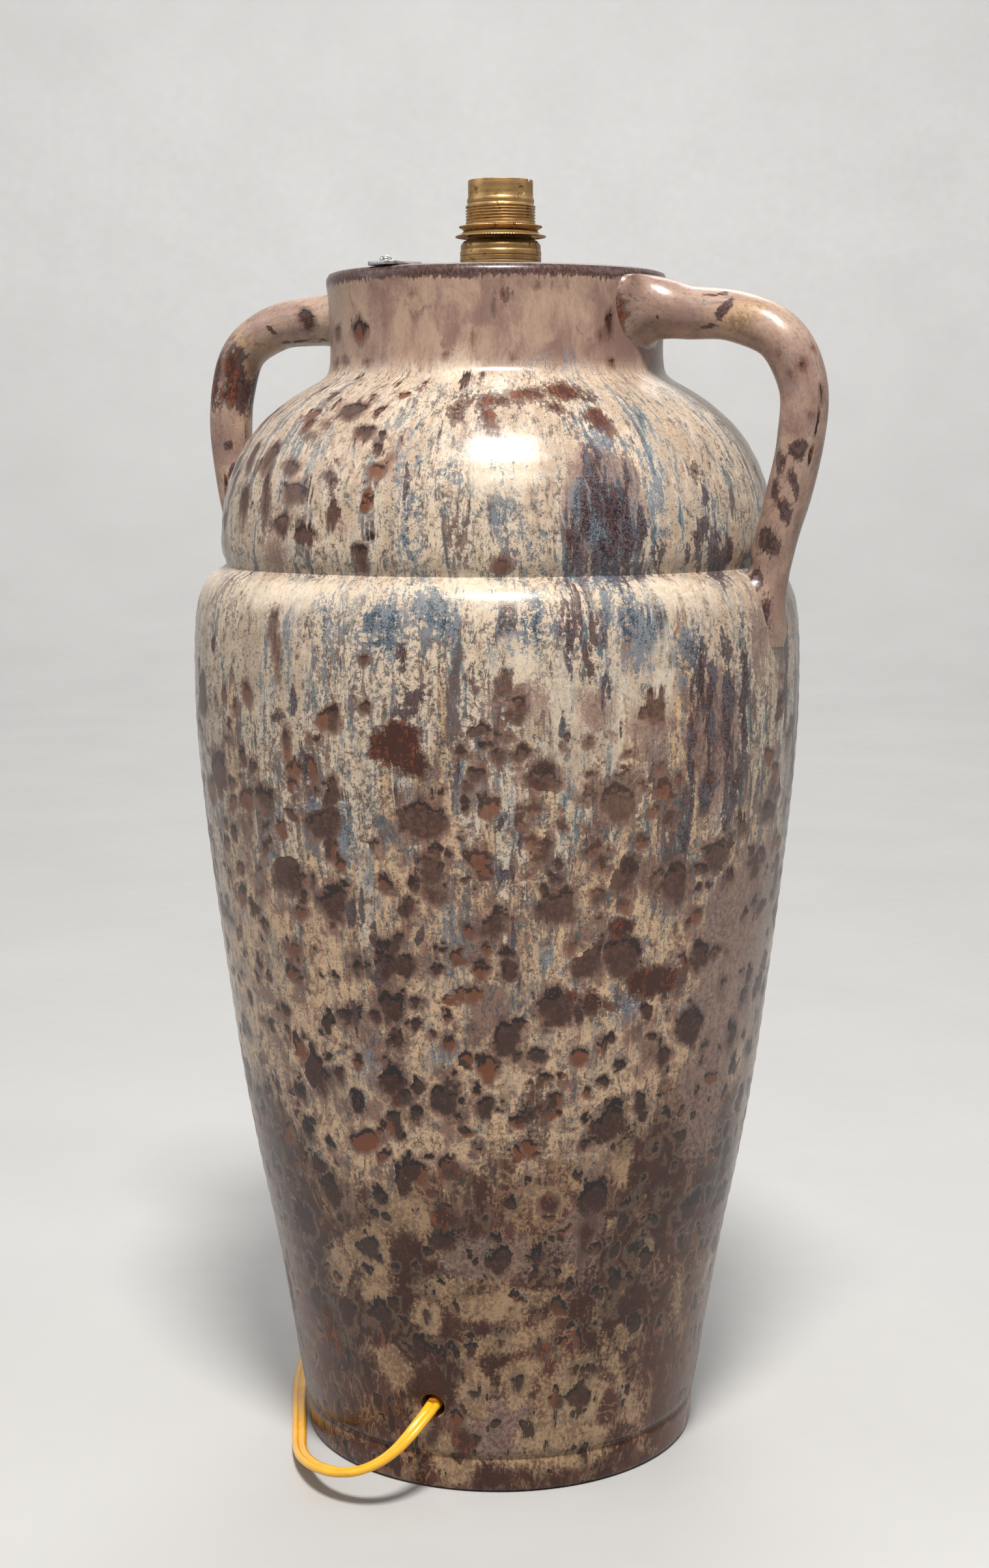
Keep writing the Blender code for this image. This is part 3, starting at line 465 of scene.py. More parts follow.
# ---------------------------------------------------------------- glaze
def glaze_material(name):
    """Runny mottled stoneware glaze. It is driven by the piece's own wrapped coordinate and by soft fields on its points."""
    m = Mat(name)
    W = m.attr("wrap")

    def parts(attribute):
        n = m.attr(attribute, None)
        s = m.t.nodes.new("ShaderNodeSeparateColor")
        m.link(n.outputs["Color"], s.inputs[0])
        return s.outputs[0], s.outputs[1], s.outputs[2], n.outputs["Alpha"]
    spot, rust, dark, blue = parts("field_a")
    tan, mauve, pale, low = parts("field_b")
    collar, speckle, streaky, spotty = parts("field_c")
    crest, curtain, warm, _ = parts("field_d")
    mul, add = (lambda a, b: m.math("MULTIPLY", a, b)), (lambda a, b: m.math("ADD", a, b))
    sub, top = (lambda a, b: m.math("SUBTRACT", a, b)), (lambda a, b: m.math("MAXIMUM", a, b))

    def centred(v, k):
        return m.math("MULTIPLY_ADD", v, k, -0.5 * k)

    big = m.noise(W, 17, 3, 0.55)
    mid = m.noise(W, 62, 4, 0.6, 0.6)
    long1 = m.noise(m.scale(W, (1, 1, 0.20)), 420, 4, 0.66, 0.5)
    long2 = m.noise(m.scale(W, (1, 1, 0.15), (3.1, 0.4, 0.2)), 120, 5, 0.66, 0.7)
    long3 = m.noise(m.scale(W, (1, 1, 0.28), (1.3, 2.4, 0.7)), 230, 5, 0.70, 1.0)
    grain = m.noise(W, 1700, 3, 0.7)
    grit = m.noise(W, 560, 4, 0.70)
    # edges wander by a few millimetres, more along the fall of the glaze
    wob = add(add(centred(mid, 0.40), centred(grit, 0.55)), centred(long1, 0.45))

    # ground: tan, cream and a greyed wash
    c = m.mix(m.step(add(big, centred(long2, 0.9)), 0.36, 0.62), (0.385, 0.285, 0.205), (0.535, 0.425, 0.320))
    c = m.mix(mul(m.step(add(long3, centred(mid, 0.5)), 0.47, 0.66), 0.62), c, (0.575, 0.485, 0.385))
    wash = m.step(add(long2, centred(long1, 0.5)), 0.46, 0.62)
    c = m.mix(mul(mul(wash, streaky), 0.62), c, (0.39, 0.375, 0.335))
    # collar and handles: quiet pinkish brown
    rosy = m.mix(m.step(add(mid, add(centred(big, 0.9), add(centred(grit, 0.35), centred(long2, 0.3)))), 0.30, 0.70), (0.215, 0.125, 0.104), (0.390, 0.265, 0.196))
    rosy = m.mix(mul(m.step(add(m.noise(W, 105, 4, 0.6, 0.8), centred(grit, 0.4)), 0.60, 0.74), 0.75), rosy, (0.150, 0.080, 0.066))
    c = m.mix(collar, c, rosy)
    # below the hanging cream curtains the ground turns to tan over mauve
    spike = m.noise(m.scale(W, (1, 1, 0.085), (0.9, 5.1, 0.0)), 190, 3, 0.62, 0.25)
    cur = add(curtain, add(add(centred(spike, 3.4), centred(long3, 0.5)), add(centred(mid, 1.0), centred(grit, 0.35))))
    open_ = sub(1.0, m.step(cur, -0.04, 0.06))
    under = m.mix(m.step(add(mid, add(centred(long2, 0.7), centred(grit, 0.5))), 0.34, 0.50), (0.215, 0.118, 0.085), (0.520, 0.360, 0.225))
    c = m.mix(mul(open_, sub(1.0, collar)), c, under)
    hem = mul(sub(m.step(cur, -0.34, -0.02), m.step(cur, -0.02, 0.08)), sub(1.0, collar))
    c = m.mix(mul(hem, mul(m.step(add(grit, centred(grain, 0.6)), 0.38, 0.58), 0.92)), c, m.mix(m.step(add(mid, centred(grain, 0.6)), 0.45, 0.55), (0.022, 0.058, 0.078), (0.050, 0.026, 0.023)))
    # marbling: pools of mauve and hair lines of slate that follow the fall of the glaze
    marble = m.noise(m.scale(W, (1, 1, 0.52), (5.2, 1.1, 0.3)), 185, 5, 0.62, 1.5)
    pools = m.step(add(marble, add(centred(mid, 0.8), centred(grit, 0.3))), 0.53, 0.66)
    c = m.mix(mul(mul(pools, sub(1.0, mul(collar, 0.55))), m.math("MULTIPLY_ADD", spotty, 0.40, 0.24)), c, m.mix(m.step(grit, 0.38, 0.62), (0.135, 0.066, 0.048), (0.250, 0.146, 0.102)))
    hair = m.math("ABSOLUTE", centred(m.noise(m.scale(W, (1, 1, 0.34), (2.7, 3.3, 1.0)), 150, 5, 0.66, 1.9), 1.0))
    hairs = mul(sub(1.0, m.step(hair, 0.012, 0.048)), m.step(add(marble, centred(big, 0.9)), 0.44, 0.60))
    c = m.mix(mul(mul(hairs, m.step(grit, 0.36, 0.56)), sub(0.85, mul(collar, 0.65))), c, m.mix(m.step(add(long3, centred(grain, 0.4)), 0.44, 0.56), (0.016, 0.052, 0.066), (0.055, 0.026, 0.020)))
    # fine dark speckle everywhere
    specks = m.step(add(grain, centred(grit, 1.0)), 0.54, 0.68)
    c = m.mix(mul(mul(specks, speckle), 0.85), c, m.mix(m.step(mid, 0.42, 0.58), (0.105, 0.125, 0.125), (0.150, 0.080, 0.050)))
    fleck = m.step(add(m.noise(W, 640, 3, 0.65, 0.4), add(centred(marble, 0.7), centred(grain, 0.6))), 0.585, 0.67)
    c = m.mix(mul(fleck, mul(speckle, 0.90)), c, m.mix(m.step(add(long3, centred(mid, 0.6)), 0.46, 0.56), (0.028, 0.060, 0.075), (0.085, 0.042, 0.032)))
    pin = m.step(add(m.noise(W, 900, 2, 0.6), centred(grain, 0.4)), 0.69, 0.77)
    c = m.mix(mul(mul(pin, speckle), 0.80), c, (0.045, 0.055, 0.055))
    # runs of blue and slate
    runs = m.step(add(add(long1, centred(long2, 1.5)), centred(grain, 0.5)), 0.53, 0.68)
    c = m.mix(mul(mul(runs, streaky), 0.86), c, m.mix(m.step(add(long3, centred(grain, 0.5)), 0.40, 0.60), (0.014, 0.058, 0.090), (0.165, 0.180, 0.185)))
    dark_runs = m.step(add(add(long3, centred(long2, 1.2)), add(centred(grit, 0.5), centred(big, 0.8))), 0.62, 0.72)
    c = m.mix(mul(mul(dark_runs, streaky), 0.92), c, m.mix(m.step(grit, 0.4, 0.6), (0.040, 0.028, 0.030), (0.115, 0.060, 0.052)))

    # the chocolate ground near the foot, mottled with mauve and patches of tan
    lowmask = m.step(add(add(low, 0.05), add(add(centred(mid, 0.9), centred(long2, 0.8)), add(centred(grit, 0.5), centred(long3, 0.4)))), -0.12, 0.14)
    choc = m.mix(m.step(add(big, centred(mid, 0.9)), 0.36, 0.66), (0.037, 0.009, 0.004), (0.080, 0.026, 0.017))
    choc = m.mix(warm, choc, (0.090, 0.022, 0.006))
    choc = m.mix(mul(m.step(add(grit, centred(grain, 0.6)), 0.52, 0.74), 0.45), choc, (0.118, 0.052, 0.034))
    vein = m.math("ABSOLUTE", centred(m.noise(m.scale(W, (1, 1, 0.62), (2.2, 0.3, 4.0)), 78, 4, 0.62, 1.4), 1.0))
    choc = m.mix(mul(sub(1.0, m.step(vein, 0.008, 0.040)), mul(m.step(add(mid, centred(big, 0.8)), 0.42, 0.62), 0.66)), choc, (0.30, 0.185, 0.100))
    patch = m.noise(m.scale(W, (1, 1, 0.75), (0.6, 2.2, 1.0)), 58, 6, 0.62, 1.6)
    choc = m.mix(mul(m.step(add(patch, add(centred(big, 0.7), centred(grit, 0.50))), 0.62, 0.71), mul(sub(1.0, warm), 0.66)), choc, m.mix(m.step(grit, 0.4, 0.6), (0.150, 0.080, 0.042), (0.330, 0.205, 0.110)))
    c = m.mix(lowmask, c, choc)

    # washes and long runs that were noted; the pale marks include one painted highlight
    soft = add(centred(long1, 1.3), add(centred(grain, 1.1), centred(grit, 1.2)))
    # pale glaze colour, and where the pale patch lies on the front of the dome (and its copies round the sides and
    # back), a painted highlight
    c = m.mix(mul(m.step(add(pale, soft), -0.35, 0.35), 0.80), c, m.mix(m.step(grit, 0.4, 0.6), (0.54, 0.43, 0.31), (0.63, 0.545, 0.44)))
    c = m.mix(mul(m.step(add(mauve, soft), -0.32, 0.25), 0.80), c, m.mix(m.step(grit, 0.38, 0.62), (0.13, 0.070, 0.060), (0.27, 0.175, 0.140)))
    bluec = m.mix(m.step(add(long3, centred(grain, 1.1)), 0.42, 0.56), (0.011, 0.040, 0.068), (0.165, 0.182, 0.205))
    c = m.mix(mul(m.step(add(blue, add(mul(soft, 2.1), centred(long3, 1.6))), 0.02, 0.30), 0.90), c, bluec)
    c = m.mix(mul(collar, 0.55), c, rosy)
    c = m.mix(mul(m.step(add(tan, add(mul(wob, 1.2), centred(grain, 0.3))), -0.24, 0.10), 0.86), c, m.mix(m.step(add(grit, centred(mid, 0.6)), 0.4, 0.6), (0.200, 0.118, 0.066), (0.38, 0.250, 0.145)))

    # blisters: a mauve cushion, a ragged dark core and a darker crescent along its upper edge
    drift = m.scale(m.noise(W, 85, 3, 0.6, 0, True), (0.010, 0.010, 0.016))
    drift2 = m.scale(m.noise(W, 420, 2, 0.6, 0, True), (0.0022, 0.0022, 0.0026))
    moved = m.vadd(m.vadd(W, drift), drift2)
    on = m.step(add(spotty, add(centred(long2, 1.5), centred(mid, 0.5))), 0.30, 0.62)

    def cells(scale, size, spread, fall, seed):
        base = m.scale(moved, (1.0, 1.0, 0.82), seed)
        low_ = m.scale(moved, (1.0, 1.0, 0.82), (seed[0], seed[1], seed[2] + fall))
        v = m.voronoi(base, scale, "F1", "Color")
        d = v.node.outputs["Distance"]
        rnd = m.sep(v)[0]
        d2 = m.voronoi(low_, scale, "F1", "Distance")
        keep = m.math("MULTIPLY_ADD", rnd, -spread, size)
        return sub(keep, d), sub(keep, d2), rnd
    a1, a2, q1 = cells(62, 0.52, 0.36, 0.0026, (0.0, 0.0, 0.0))
    b1, b2, q2 = cells(128, 0.52, 0.38, 0.0016, (0.7, 0.2, 0.0))
    off = mul(sub(1.0, on), -0.8)
    v1 = add(top(a1, b1), off)
    v2 = add(top(a2, b2), off)
    lev = top(v1, mul(spot, 0.85))
    firm = sub(0.96, mul(mul(streaky, streaky), 0.42))
    lev2 = top(v2, mul(crest, 0.85))
    rag = add(add(centred(grit, 0.42), centred(mid, 0.30)), centred(long1, 0.28))
    halo = m.step(add(lev, mul(rag, 0.9)), -0.125, 0.035)
    core = m.step(add(lev, rag), 0.015, 0.150)
    core2 = m.step(add(lev2, rag), 0.015, 0.130)
    crescent = top(sub(core, core2), 0.0)
    c = m.mix(mul(halo, sub(0.84, mul(lowmask, 0.52))), c, m.mix(lowmask, m.mix(m.step(add(grit, centred(mid, 0.5)), 0.38, 0.62), (0.105, 0.046, 0.034), (0.225, 0.128, 0.090)), (0.27, 0.170, 0.095)))
    tint = mul(sub(halo, core), m.step(add(grain, centred(long1, 0.8)), 0.54, 0.66))
    c = m.mix(mul(tint, 0.78), c, (0.028, 0.066, 0.080))
    corec = m.mix(m.step(add(q1, centred(mid, 0.9)), 0.35, 0.65), (0.031, 0.009, 0.006), (0.027, 0.014, 0.010))
    corec = m.mix(mul(m.step(add(q1, centred(big, 0.7)), 0.68, 0.78), 0.8), corec, (0.170, 0.050, 0.018))
    corec = m.mix(mul(m.step(add(grit, centred(grain, 0.5)), 0.52, 0.70), 0.60), corec, (0.096, 0.043, 0.031))
    c = m.mix(mul(core, firm), c, corec)
    c = m.mix(mul(m.step(crescent, 0.03, 0.55), firm), c, (0.010, 0.006, 0.006))

    # thick dark glaze and burnt patches
    dk = m.step(add(dark, add(mul(wob, 1.5), mul(centred(long3, 1.5), streaky))), -0.10, 0.08)
    c = m.mix(mul(dk, 0.93), c, m.mix(m.step(add(grit, centred(grain, 0.4)), 0.42, 0.62), (0.020, 0.009, 0.009), (0.092, 0.044, 0.040)))
    c = m.mix(mul(mul(dk, streaky), mul(m.step(add(long3, centred(grain, 1.1)), 0.50, 0.62), 0.66)), c, (0.110, 0.122, 0.150))
    ru = add(rust, mul(add(wob, centred(long2, 0.5)), 1.5))
    inrust = m.step(ru, -0.05, 0.07)
    c = m.mix(mul(sub(m.step(ru, -0.20, -0.06), inrust), 0.80), c, (0.070, 0.042, 0.035))
    c = m.mix(inrust, c, m.mix(m.step(add(grit, centred(long1, 1.2)), 0.50, 0.72), (0.048, 0.016, 0.011), m.mix(streaky, (0.200, 0.056, 0.018), (0.135, 0.040, 0.020))))
    m.into(m.bsdf.inputs["Base Color"], c)

    matt = top(inrust, mul(core, 0.5))
    r = add(m.rng(mid, 0.3, 0.7, 0.22, 0.34), add(mul(matt, 0.18), mul(specks, 0.05)))
    m.into(m.bsdf.inputs["Roughness"], r)
    m.set("Specular IOR Level", 0.32)
    m.set("Coat Weight", 0.15)
    m.set("Coat Roughness", 0.17)
    relief = sub(add(mul(grit, 0.30), add(mul(grain, 0.10), mul(mid, 0.9))), add(mul(halo, 0.30), mul(core, 0.35)))
    m.bump(relief, 0.32, 0.0007)
    return m.m


def bare_material():
    m = Mat("bare_stoneware")
    p = m.coord()
    big, mid, fine = m.noise(p, 26, 3, 0.6), m.noise(p, 190, 4, 0.65), m.noise(p, 1400, 3, 0.7)
    c = m.ramp(m.math("ADD", big, m.math("MULTIPLY_ADD", mid, 0.3, -0.15)), [(0.32, (0.17, 0.098, 0.062)), (0.68, (0.30, 0.19, 0.125))])
    c = m.mix(m.math("MULTIPLY", m.step(fine, 0.60, 0.72), 0.6), c, (0.075, 0.045, 0.03))
    m.into(m.bsdf.inputs["Base Color"], c)
    m.into(m.bsdf.inputs["Roughness"], m.rng(mid, 0.3, 0.7, 0.62, 0.82))
    m.bump(m.math("ADD", m.math("MULTIPLY", mid, 0.6), fine), 0.4, 0.0004)
    return m.m


GLAZE = glaze_material("stoneware_glaze")
BARE = bare_material()

# ---------------------------------------------------------------- vase
FOOT = [(1.1, 77.9), (4.0, 78.3), (8.0, 78.6), (12.2, 78.8), (13.2, 78.5), (14.0, 77.9), (14.7, 78.2), (15.4, 79.1), (16.4, 79.7)]
BODY = [(16.4, 79.7), (27.8, 81.4), (34.8, 82.4), (41.8, 83.4), (80, 89.8), (115, 96.7), (150, 102.7), (185, 107.4), (220, 111.8), (255, 115.6),
        (285, 117.9), (305, 118.3), (320, 118.0), (332, 116.9), (340, 114.6), (345.5, 110.8), (348.0, 106.2), (349.3, 105.0), (350.8, 105.5),
        (353.5, 106.8), (366, 106.5), (378, 104.5), (390, 99.6), (400, 92.9), (408, 84.5),
        (414, 75.9), (418.6, 67.8), (421.0, 65.3), (425, 64.3), (440, 64.2), (450, 64.8), (455.8, 65.4), (457.6, 64.9), (458.6, 63.6), (458.8, 62.4)]
INSIDE = [(458.8, 58.2), (458.2, 56.9), (455, 56.5), (440, 56.5), (423, 56.5), (414, 59.5), (402, 76.5), (394, 86.0), (382, 94.5),
          (350, 98.8), (340, 104.5), (305, 110.3), (260, 107.5), (220, 103.8), (150, 94.7), (80, 81.8), (41.8, 74.0), (34.8, 72.4), (27.8, 70.8), (20, 69.0), (14.5, 65.0), (12.5, 58.0)]
COLS = 312


def line2(stations, step):
    return [(p.x, p.y) for p in even(spline([(z, r, 0) for z, r in stations], 10), step)]


def split_at(stations, z):
    k = min(range(len(stations)), key=lambda i: abs(stations[i][0] - z))
    return k


def fine_band(stations, step, z=34.8, half=7.0, count=10):
    """Rows along a profile, with rows exactly at the height of the cord hole and close together near it."""
    rising = stations[0][0] < stations[-1][0]
    ks = sorted((split_at(stations, z - half), split_at(stations, z + half)))
    a, b, c = stations[:ks[0] + 1], stations[ks[0]:ks[1] + 1], stations[ks[1]:]
    dense = [(p.x, p.y) for p in spline([(q[0], q[1], 0) for q in stations], 12)]
    zs = np.array([q[0] for q in dense])
    rs = np.array([q[1] for q in dense])
    order = np.argsort(zs) if rising else np.argsort(zs)
    near = [(zz, float(np.interp(zz, zs[order], rs[order]))) for zz in
            ([z - half + 2 * half * k / count for k in range(count + 1)] if rising else
             [z + half - 2 * half * k / count for k in range(count + 1)])]
    first = line2(a, step)[:-1] if len(a) > 1 else []
    last = line2(c, step)[1:] if len(c) > 1 else []
    return first + near + last, len(first) + count // 2


foot_rows = line2(FOOT, 1.2)[:-1]
outer_rows, hole_row = fine_band(BODY, 2.12)
inner_rows, hole_in = fine_band(INSIDE, 9.0)
under = [(4.0, 0.0), (4.0, 30.0), (4.0, 62.6), (3.2, 64.2), (0.6, 65.4), (0.0, 66.4), (0.0, 71.5), (0.0, 76.6)]
rows = under + foot_rows + outer_rows + inner_rows + [(12.5, 30.0), (12.5, 0.0)]
n_under, n_out = len(under), len(foot_rows) + len(outer_rows)
hole_out_i = n_under + len(foot_rows) + hole_row
hole_in_i = n_under + n_out + hole_in
arc = [0.0]
for a, b in zip(rows[:-1], rows[1:]):
    arc.append(arc[-1] + math.hypot(a[0] - b[0], a[1] - b[1]))


def wobble(az, z):
    """Small unevenness of a hand-thrown wall, in mm."""
    a = math.radians(az)
    env = smooth(z / 40.0) * smooth((455.0 - z) / 60.0)
    return env * (0.28 * math.sin(2 * a + z * 0.011 + 0.6) + 0.16 * math.sin(3 * a - z * 0.017 + 2.0) + 0.10 * math.sin(z * 0.83 + 0.7 * math.sin(a)) * smooth((z - 20) / 60.0))


HALF = 3             # the hole takes the place of six by six cells
verts, index, place = [], {}, []


def vert(i, j):
    z, r = rows[i]
    if r < 1e-6:
        j = 0
    j %= COLS
    if (i, j) not in index:
        az = HOLE_AZ + 360.0 * j / COLS
        zz, rr = z, r
        for ci, rad in ((hole_out_i, 5.15), (hole_in_i, 4.85)):
            di = i - ci
            dj = (j + COLS // 2) % COLS - COLS // 2
            if abs(di) <= 8 and abs(dj) <= 8 and r > 60 and (di or dj):
                m_ = max(abs(di), abs(dj)) / HALF
                if m_ >= 0.99:
                    cell = math.radians(360.0 / COLS) * r
                    u, v = dj * cell, z - HOLE_Z
                    flat = math.hypot(dj, di)
                    ring = rad * (1 + 0.9 * (m_ - 1))
                    wgt = 1 - smooth((m_ - 1) / 1.6)
                    u2, v2 = ring * dj / flat, ring * di / flat * (1 if ci == hole_out_i else -1)
                    u, v = u + (u2 - u) * wgt, v + (v2 - v) * wgt
                    az = HOLE_AZ + math.degrees(u / r)
                    zz = HOLE_Z + v
                    rr = r + (zz - z) * (rows[i + 1][1] - rows[i - 1][1]) / (rows[i + 1][0] - rows[i - 1][0])
        if 70 < r and n_under <= i < n_under + n_out:
            rr += wobble(az, zz)
        p = polar(az, rr, zz)
        index[i, j] = len(verts)
        verts.append(p)
        place.append((az, i, zz))
    return index[i, j]


faces, tags = [], []
for i in range(len(rows) - 1):
    for j in range(COLS):
        dj = (j + COLS // 2) % COLS - COLS // 2
        if -HALF <= dj < HALF and (-HALF <= i - hole_out_i < HALF or -HALF <= i - hole_in_i < HALF):
            continue
        q = [vert(i, j), vert(i, j + 1), vert(i + 1, j + 1), vert(i + 1, j)]
        q = [a for k, a in enumerate(q) if a != q[k - 1]]
        faces.append(q)
        tags.append(1 if (i < n_under - 1 or i >= n_under + n_out - 1 + 3) else 0)


def hole_loop(ci, flip):
    s = -1 if flip else 1
    ring = [(ci - s * HALF, j) for j in range(-HALF, HALF)] + [(ci + s * k, HALF) for k in range(-HALF, HALF)] + \
           [(ci + s * HALF, -j) for j in range(-HALF, HALF)] + [(ci - s * k, -HALF) for k in range(-HALF, HALF)]
    return [vert(i, j) for i, j in ring]


lo_, li_ = hole_loop(hole_out_i, False), hole_loop(hole_in_i, True)
radial = polar(HOLE_AZ, 1.0)
loops = [lo_]
for f, rad in ((0.035, 4.95), (0.09, 4.82), (0.5, 4.8)):
    loop = []
    for a, b in zip(lo_, li_):
        p = verts[a].lerp(verts[b], f)
        axis = radial * p.dot(radial) + Vector((0, 0, HOLE_Z))
        d = p - axis
        p = axis + d.normalized() * rad
        loop.append(len(verts))
        verts.append(p)
        place.append((HOLE_AZ, hole_out_i, HOLE_Z))
    loops.append(loop)
loops.append(li_)
for a, b in zip(loops[:-1], loops[1:]):
    for k in range(len(a)):
        q = (k + 1) % len(a)
        faces.append([a[k], a[q], b[q], b[k]])
        tags.append(1)

me = bpy.data.meshes.new("vase")
me.from_pydata([tuple(v * MM) for v in verts], [], faces)
me.materials.append(GLAZE)
me.materials.append(BARE)
me.polygons.foreach_set("material_index", tags)
bm = bmesh.new()
bm.from_mesh(me)
bmesh.ops.recalc_face_normals(bm, faces=bm.faces[:])
bm.to_mesh(me)
bm.free()
me.shade_smooth()
me.set_sharp_from_angle(angle=math.radians(50))
vase = bpy.data.objects.new("vase", me)
scene.collection.objects.link(vase)
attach(vase, "lamp")
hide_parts("vase_body")
print("vase:", len(me.vertices), "points,", sum(len(p.vertices) - 2 for p in me.polygons), "triangles")

# ---------------------------------------------------------------- handles
HANDLE_R = [(60, 446.8, 13.0), (69, 444.6, 11.2), (80, 442.2, 9.7), (99, 440.4, 9.3), (117.3, 432.4, 9.2),
            (126.3, 415.3, 9.0), (125.7, 395.5, 8.7), (121.7, 376.7, 8.2), (117.0, 358.4, 7.4),
            (113.8, 340.0, 6.6), (112.2, 321.0, 4.8)]
HANDLE_L = [(60, 443.4, 13.0), (69, 443.4, 11.2), (82, 443.2, 9.6), (101.6, 441.0, 9.3), (118.2, 431.4, 9.1),
            (124.6, 413.8, 8.9), (125.5, 395.2, 8.6), (123.0, 376.6, 8.2), (119.4, 358.1, 7.5),
            (115.0, 340.0, 6.6), (112.4, 321.0, 4.8)]
wall_z = np.array([z for z, r in outer_rows])
wall_r = np.array([r for z, r in outer_rows])


def wall_radius(z):
    return float(np.interp(z, wall_z, wall_r))


def handle(name, node, stations, sign):
    """A pulled handle: its ends are thumbed into the wall, so each end point is laid onto the wall's own surface."""
    pts = even(spline([(x, z, r) for x, z, r in stations], 12), 1.3)
    start, SEG = next(i for i, p in enumerate(pts) if p.x > 57), 40
    grid, n = [], len(pts)
    s = 0.0
    for i, p in enumerate(pts):
        a, b = pts[max(i - 1, 0)], pts[min(i + 1, n - 1)]
        if i:
            s += math.hypot(p.x - pts[i - 1].x, p.y - pts[i - 1].y)
        t = Vector((b.x - a.x, b.y - a.y)).normalized()
        nn = Vector((t.y, -t.x))
        lump = 1 + 0.012 * math.sin(s * 0.11 + sign) + 0.008 * math.sin(s * 0.27 + 1.3)
        row = []
        for k in range(SEG):
            w = 2 * math.pi * k / SEG
            rad = p.z * lump * (1 + 0.014 * math.cos(2 * w + s * 0.03))
            q = Vector((sign * (p.x + nn.x * rad * math.cos(w)), rad * math.sin(w), p.y + nn.y * rad * math.cos(w)))
            # the root spreads where it nears the wall
            gap = math.hypot(q.x, q.y) - wall_radius(min(max(q.z, 2), 458.0))
            centre = Vector((sign * p.x, 0, p.y))
            q = centre + (q - centre) * (1 + 0.20 * min(max(1 - gap / 15.0, 0), 1) ** 2 + 0.40 * min(max(1 - gap / 5.5, 0), 1) ** 3)
            row.append((q, w, s))
        grid.append(row)
    vs, wrapc = [], []
    for row in grid:
        for q, w, s_ in row:
            q = q.copy()
            if q.z > 452.5:
                q.z = 452.5 + 3.6 * (1 - math.exp(-(q.z - 452.5) / 3.6))
            near = math.hypot(q.x, q.y)
            wall = wall_radius(min(max(q.z, 2), 458.0))
            inside = wall - 0.5
            if near < inside:      # a point inside the wall is brought out to just under its surface
                k = inside / near
                q.x *= k
                q.y *= k
            vs.append(q)
            wrapc.append((0.0115 * math.cos(w), 0.0115 * math.sin(w) + sign, 0.001 * s_))
    fs = []
    for i in range(n - 1):
        for k in range(SEG):
            k2 = (k + 1) % SEG
            a, b, c_, d = i * SEG + k, i * SEG + k2, (i + 1) * SEG + k2, (i + 1) * SEG + k
            buried = all(math.hypot(vs[e].x, vs[e].y) <= wall_radius(min(max(vs[e].z, 2), 458)) - 0.49 for e in (a, b, c_, d))
            if not buried:
                fs.append((a, b, c_, d))
    me = bpy.data.meshes.new(name)
    me.from_pydata([tuple(v * MM) for v in vs], [], fs)
    at = me.attributes.new("wrap", "FLOAT_VECTOR", "POINT")
    at.data.foreach_set("vector", np.array(wrapc, np.float32).ravel())
    bm = bmesh.new()
    bm.from_mesh(me)
    bmesh.ops.delete(bm, geom=[v for v in bm.verts if not v.link_faces], context="VERTS")
    # each open end, now in the wall, is closed by a cap under the wall's surface
    rims = [e for e in bm.edges if e.is_boundary]
    bmesh.ops.holes_fill(bm, edges=rims, sides=0)
    bmesh.ops.recalc_face_normals(bm, faces=bm.faces[:])
    bm.to_mesh(me)
    bm.free()
    me.materials.append(GLAZE)
    me.shade_smooth()
    me.set_sharp_from_angle(angle=math.radians(60))
    o = bpy.data.objects.new(name, me)
    scene.collection.objects.link(o)
    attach(o, "lamp")
    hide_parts(node)
    return o


right_handle = handle("handle_glazed_right", "handle_right", HANDLE_R, 1)
left_handle = handle("handle_glazed_left", "handle_left", HANDLE_L, -1)
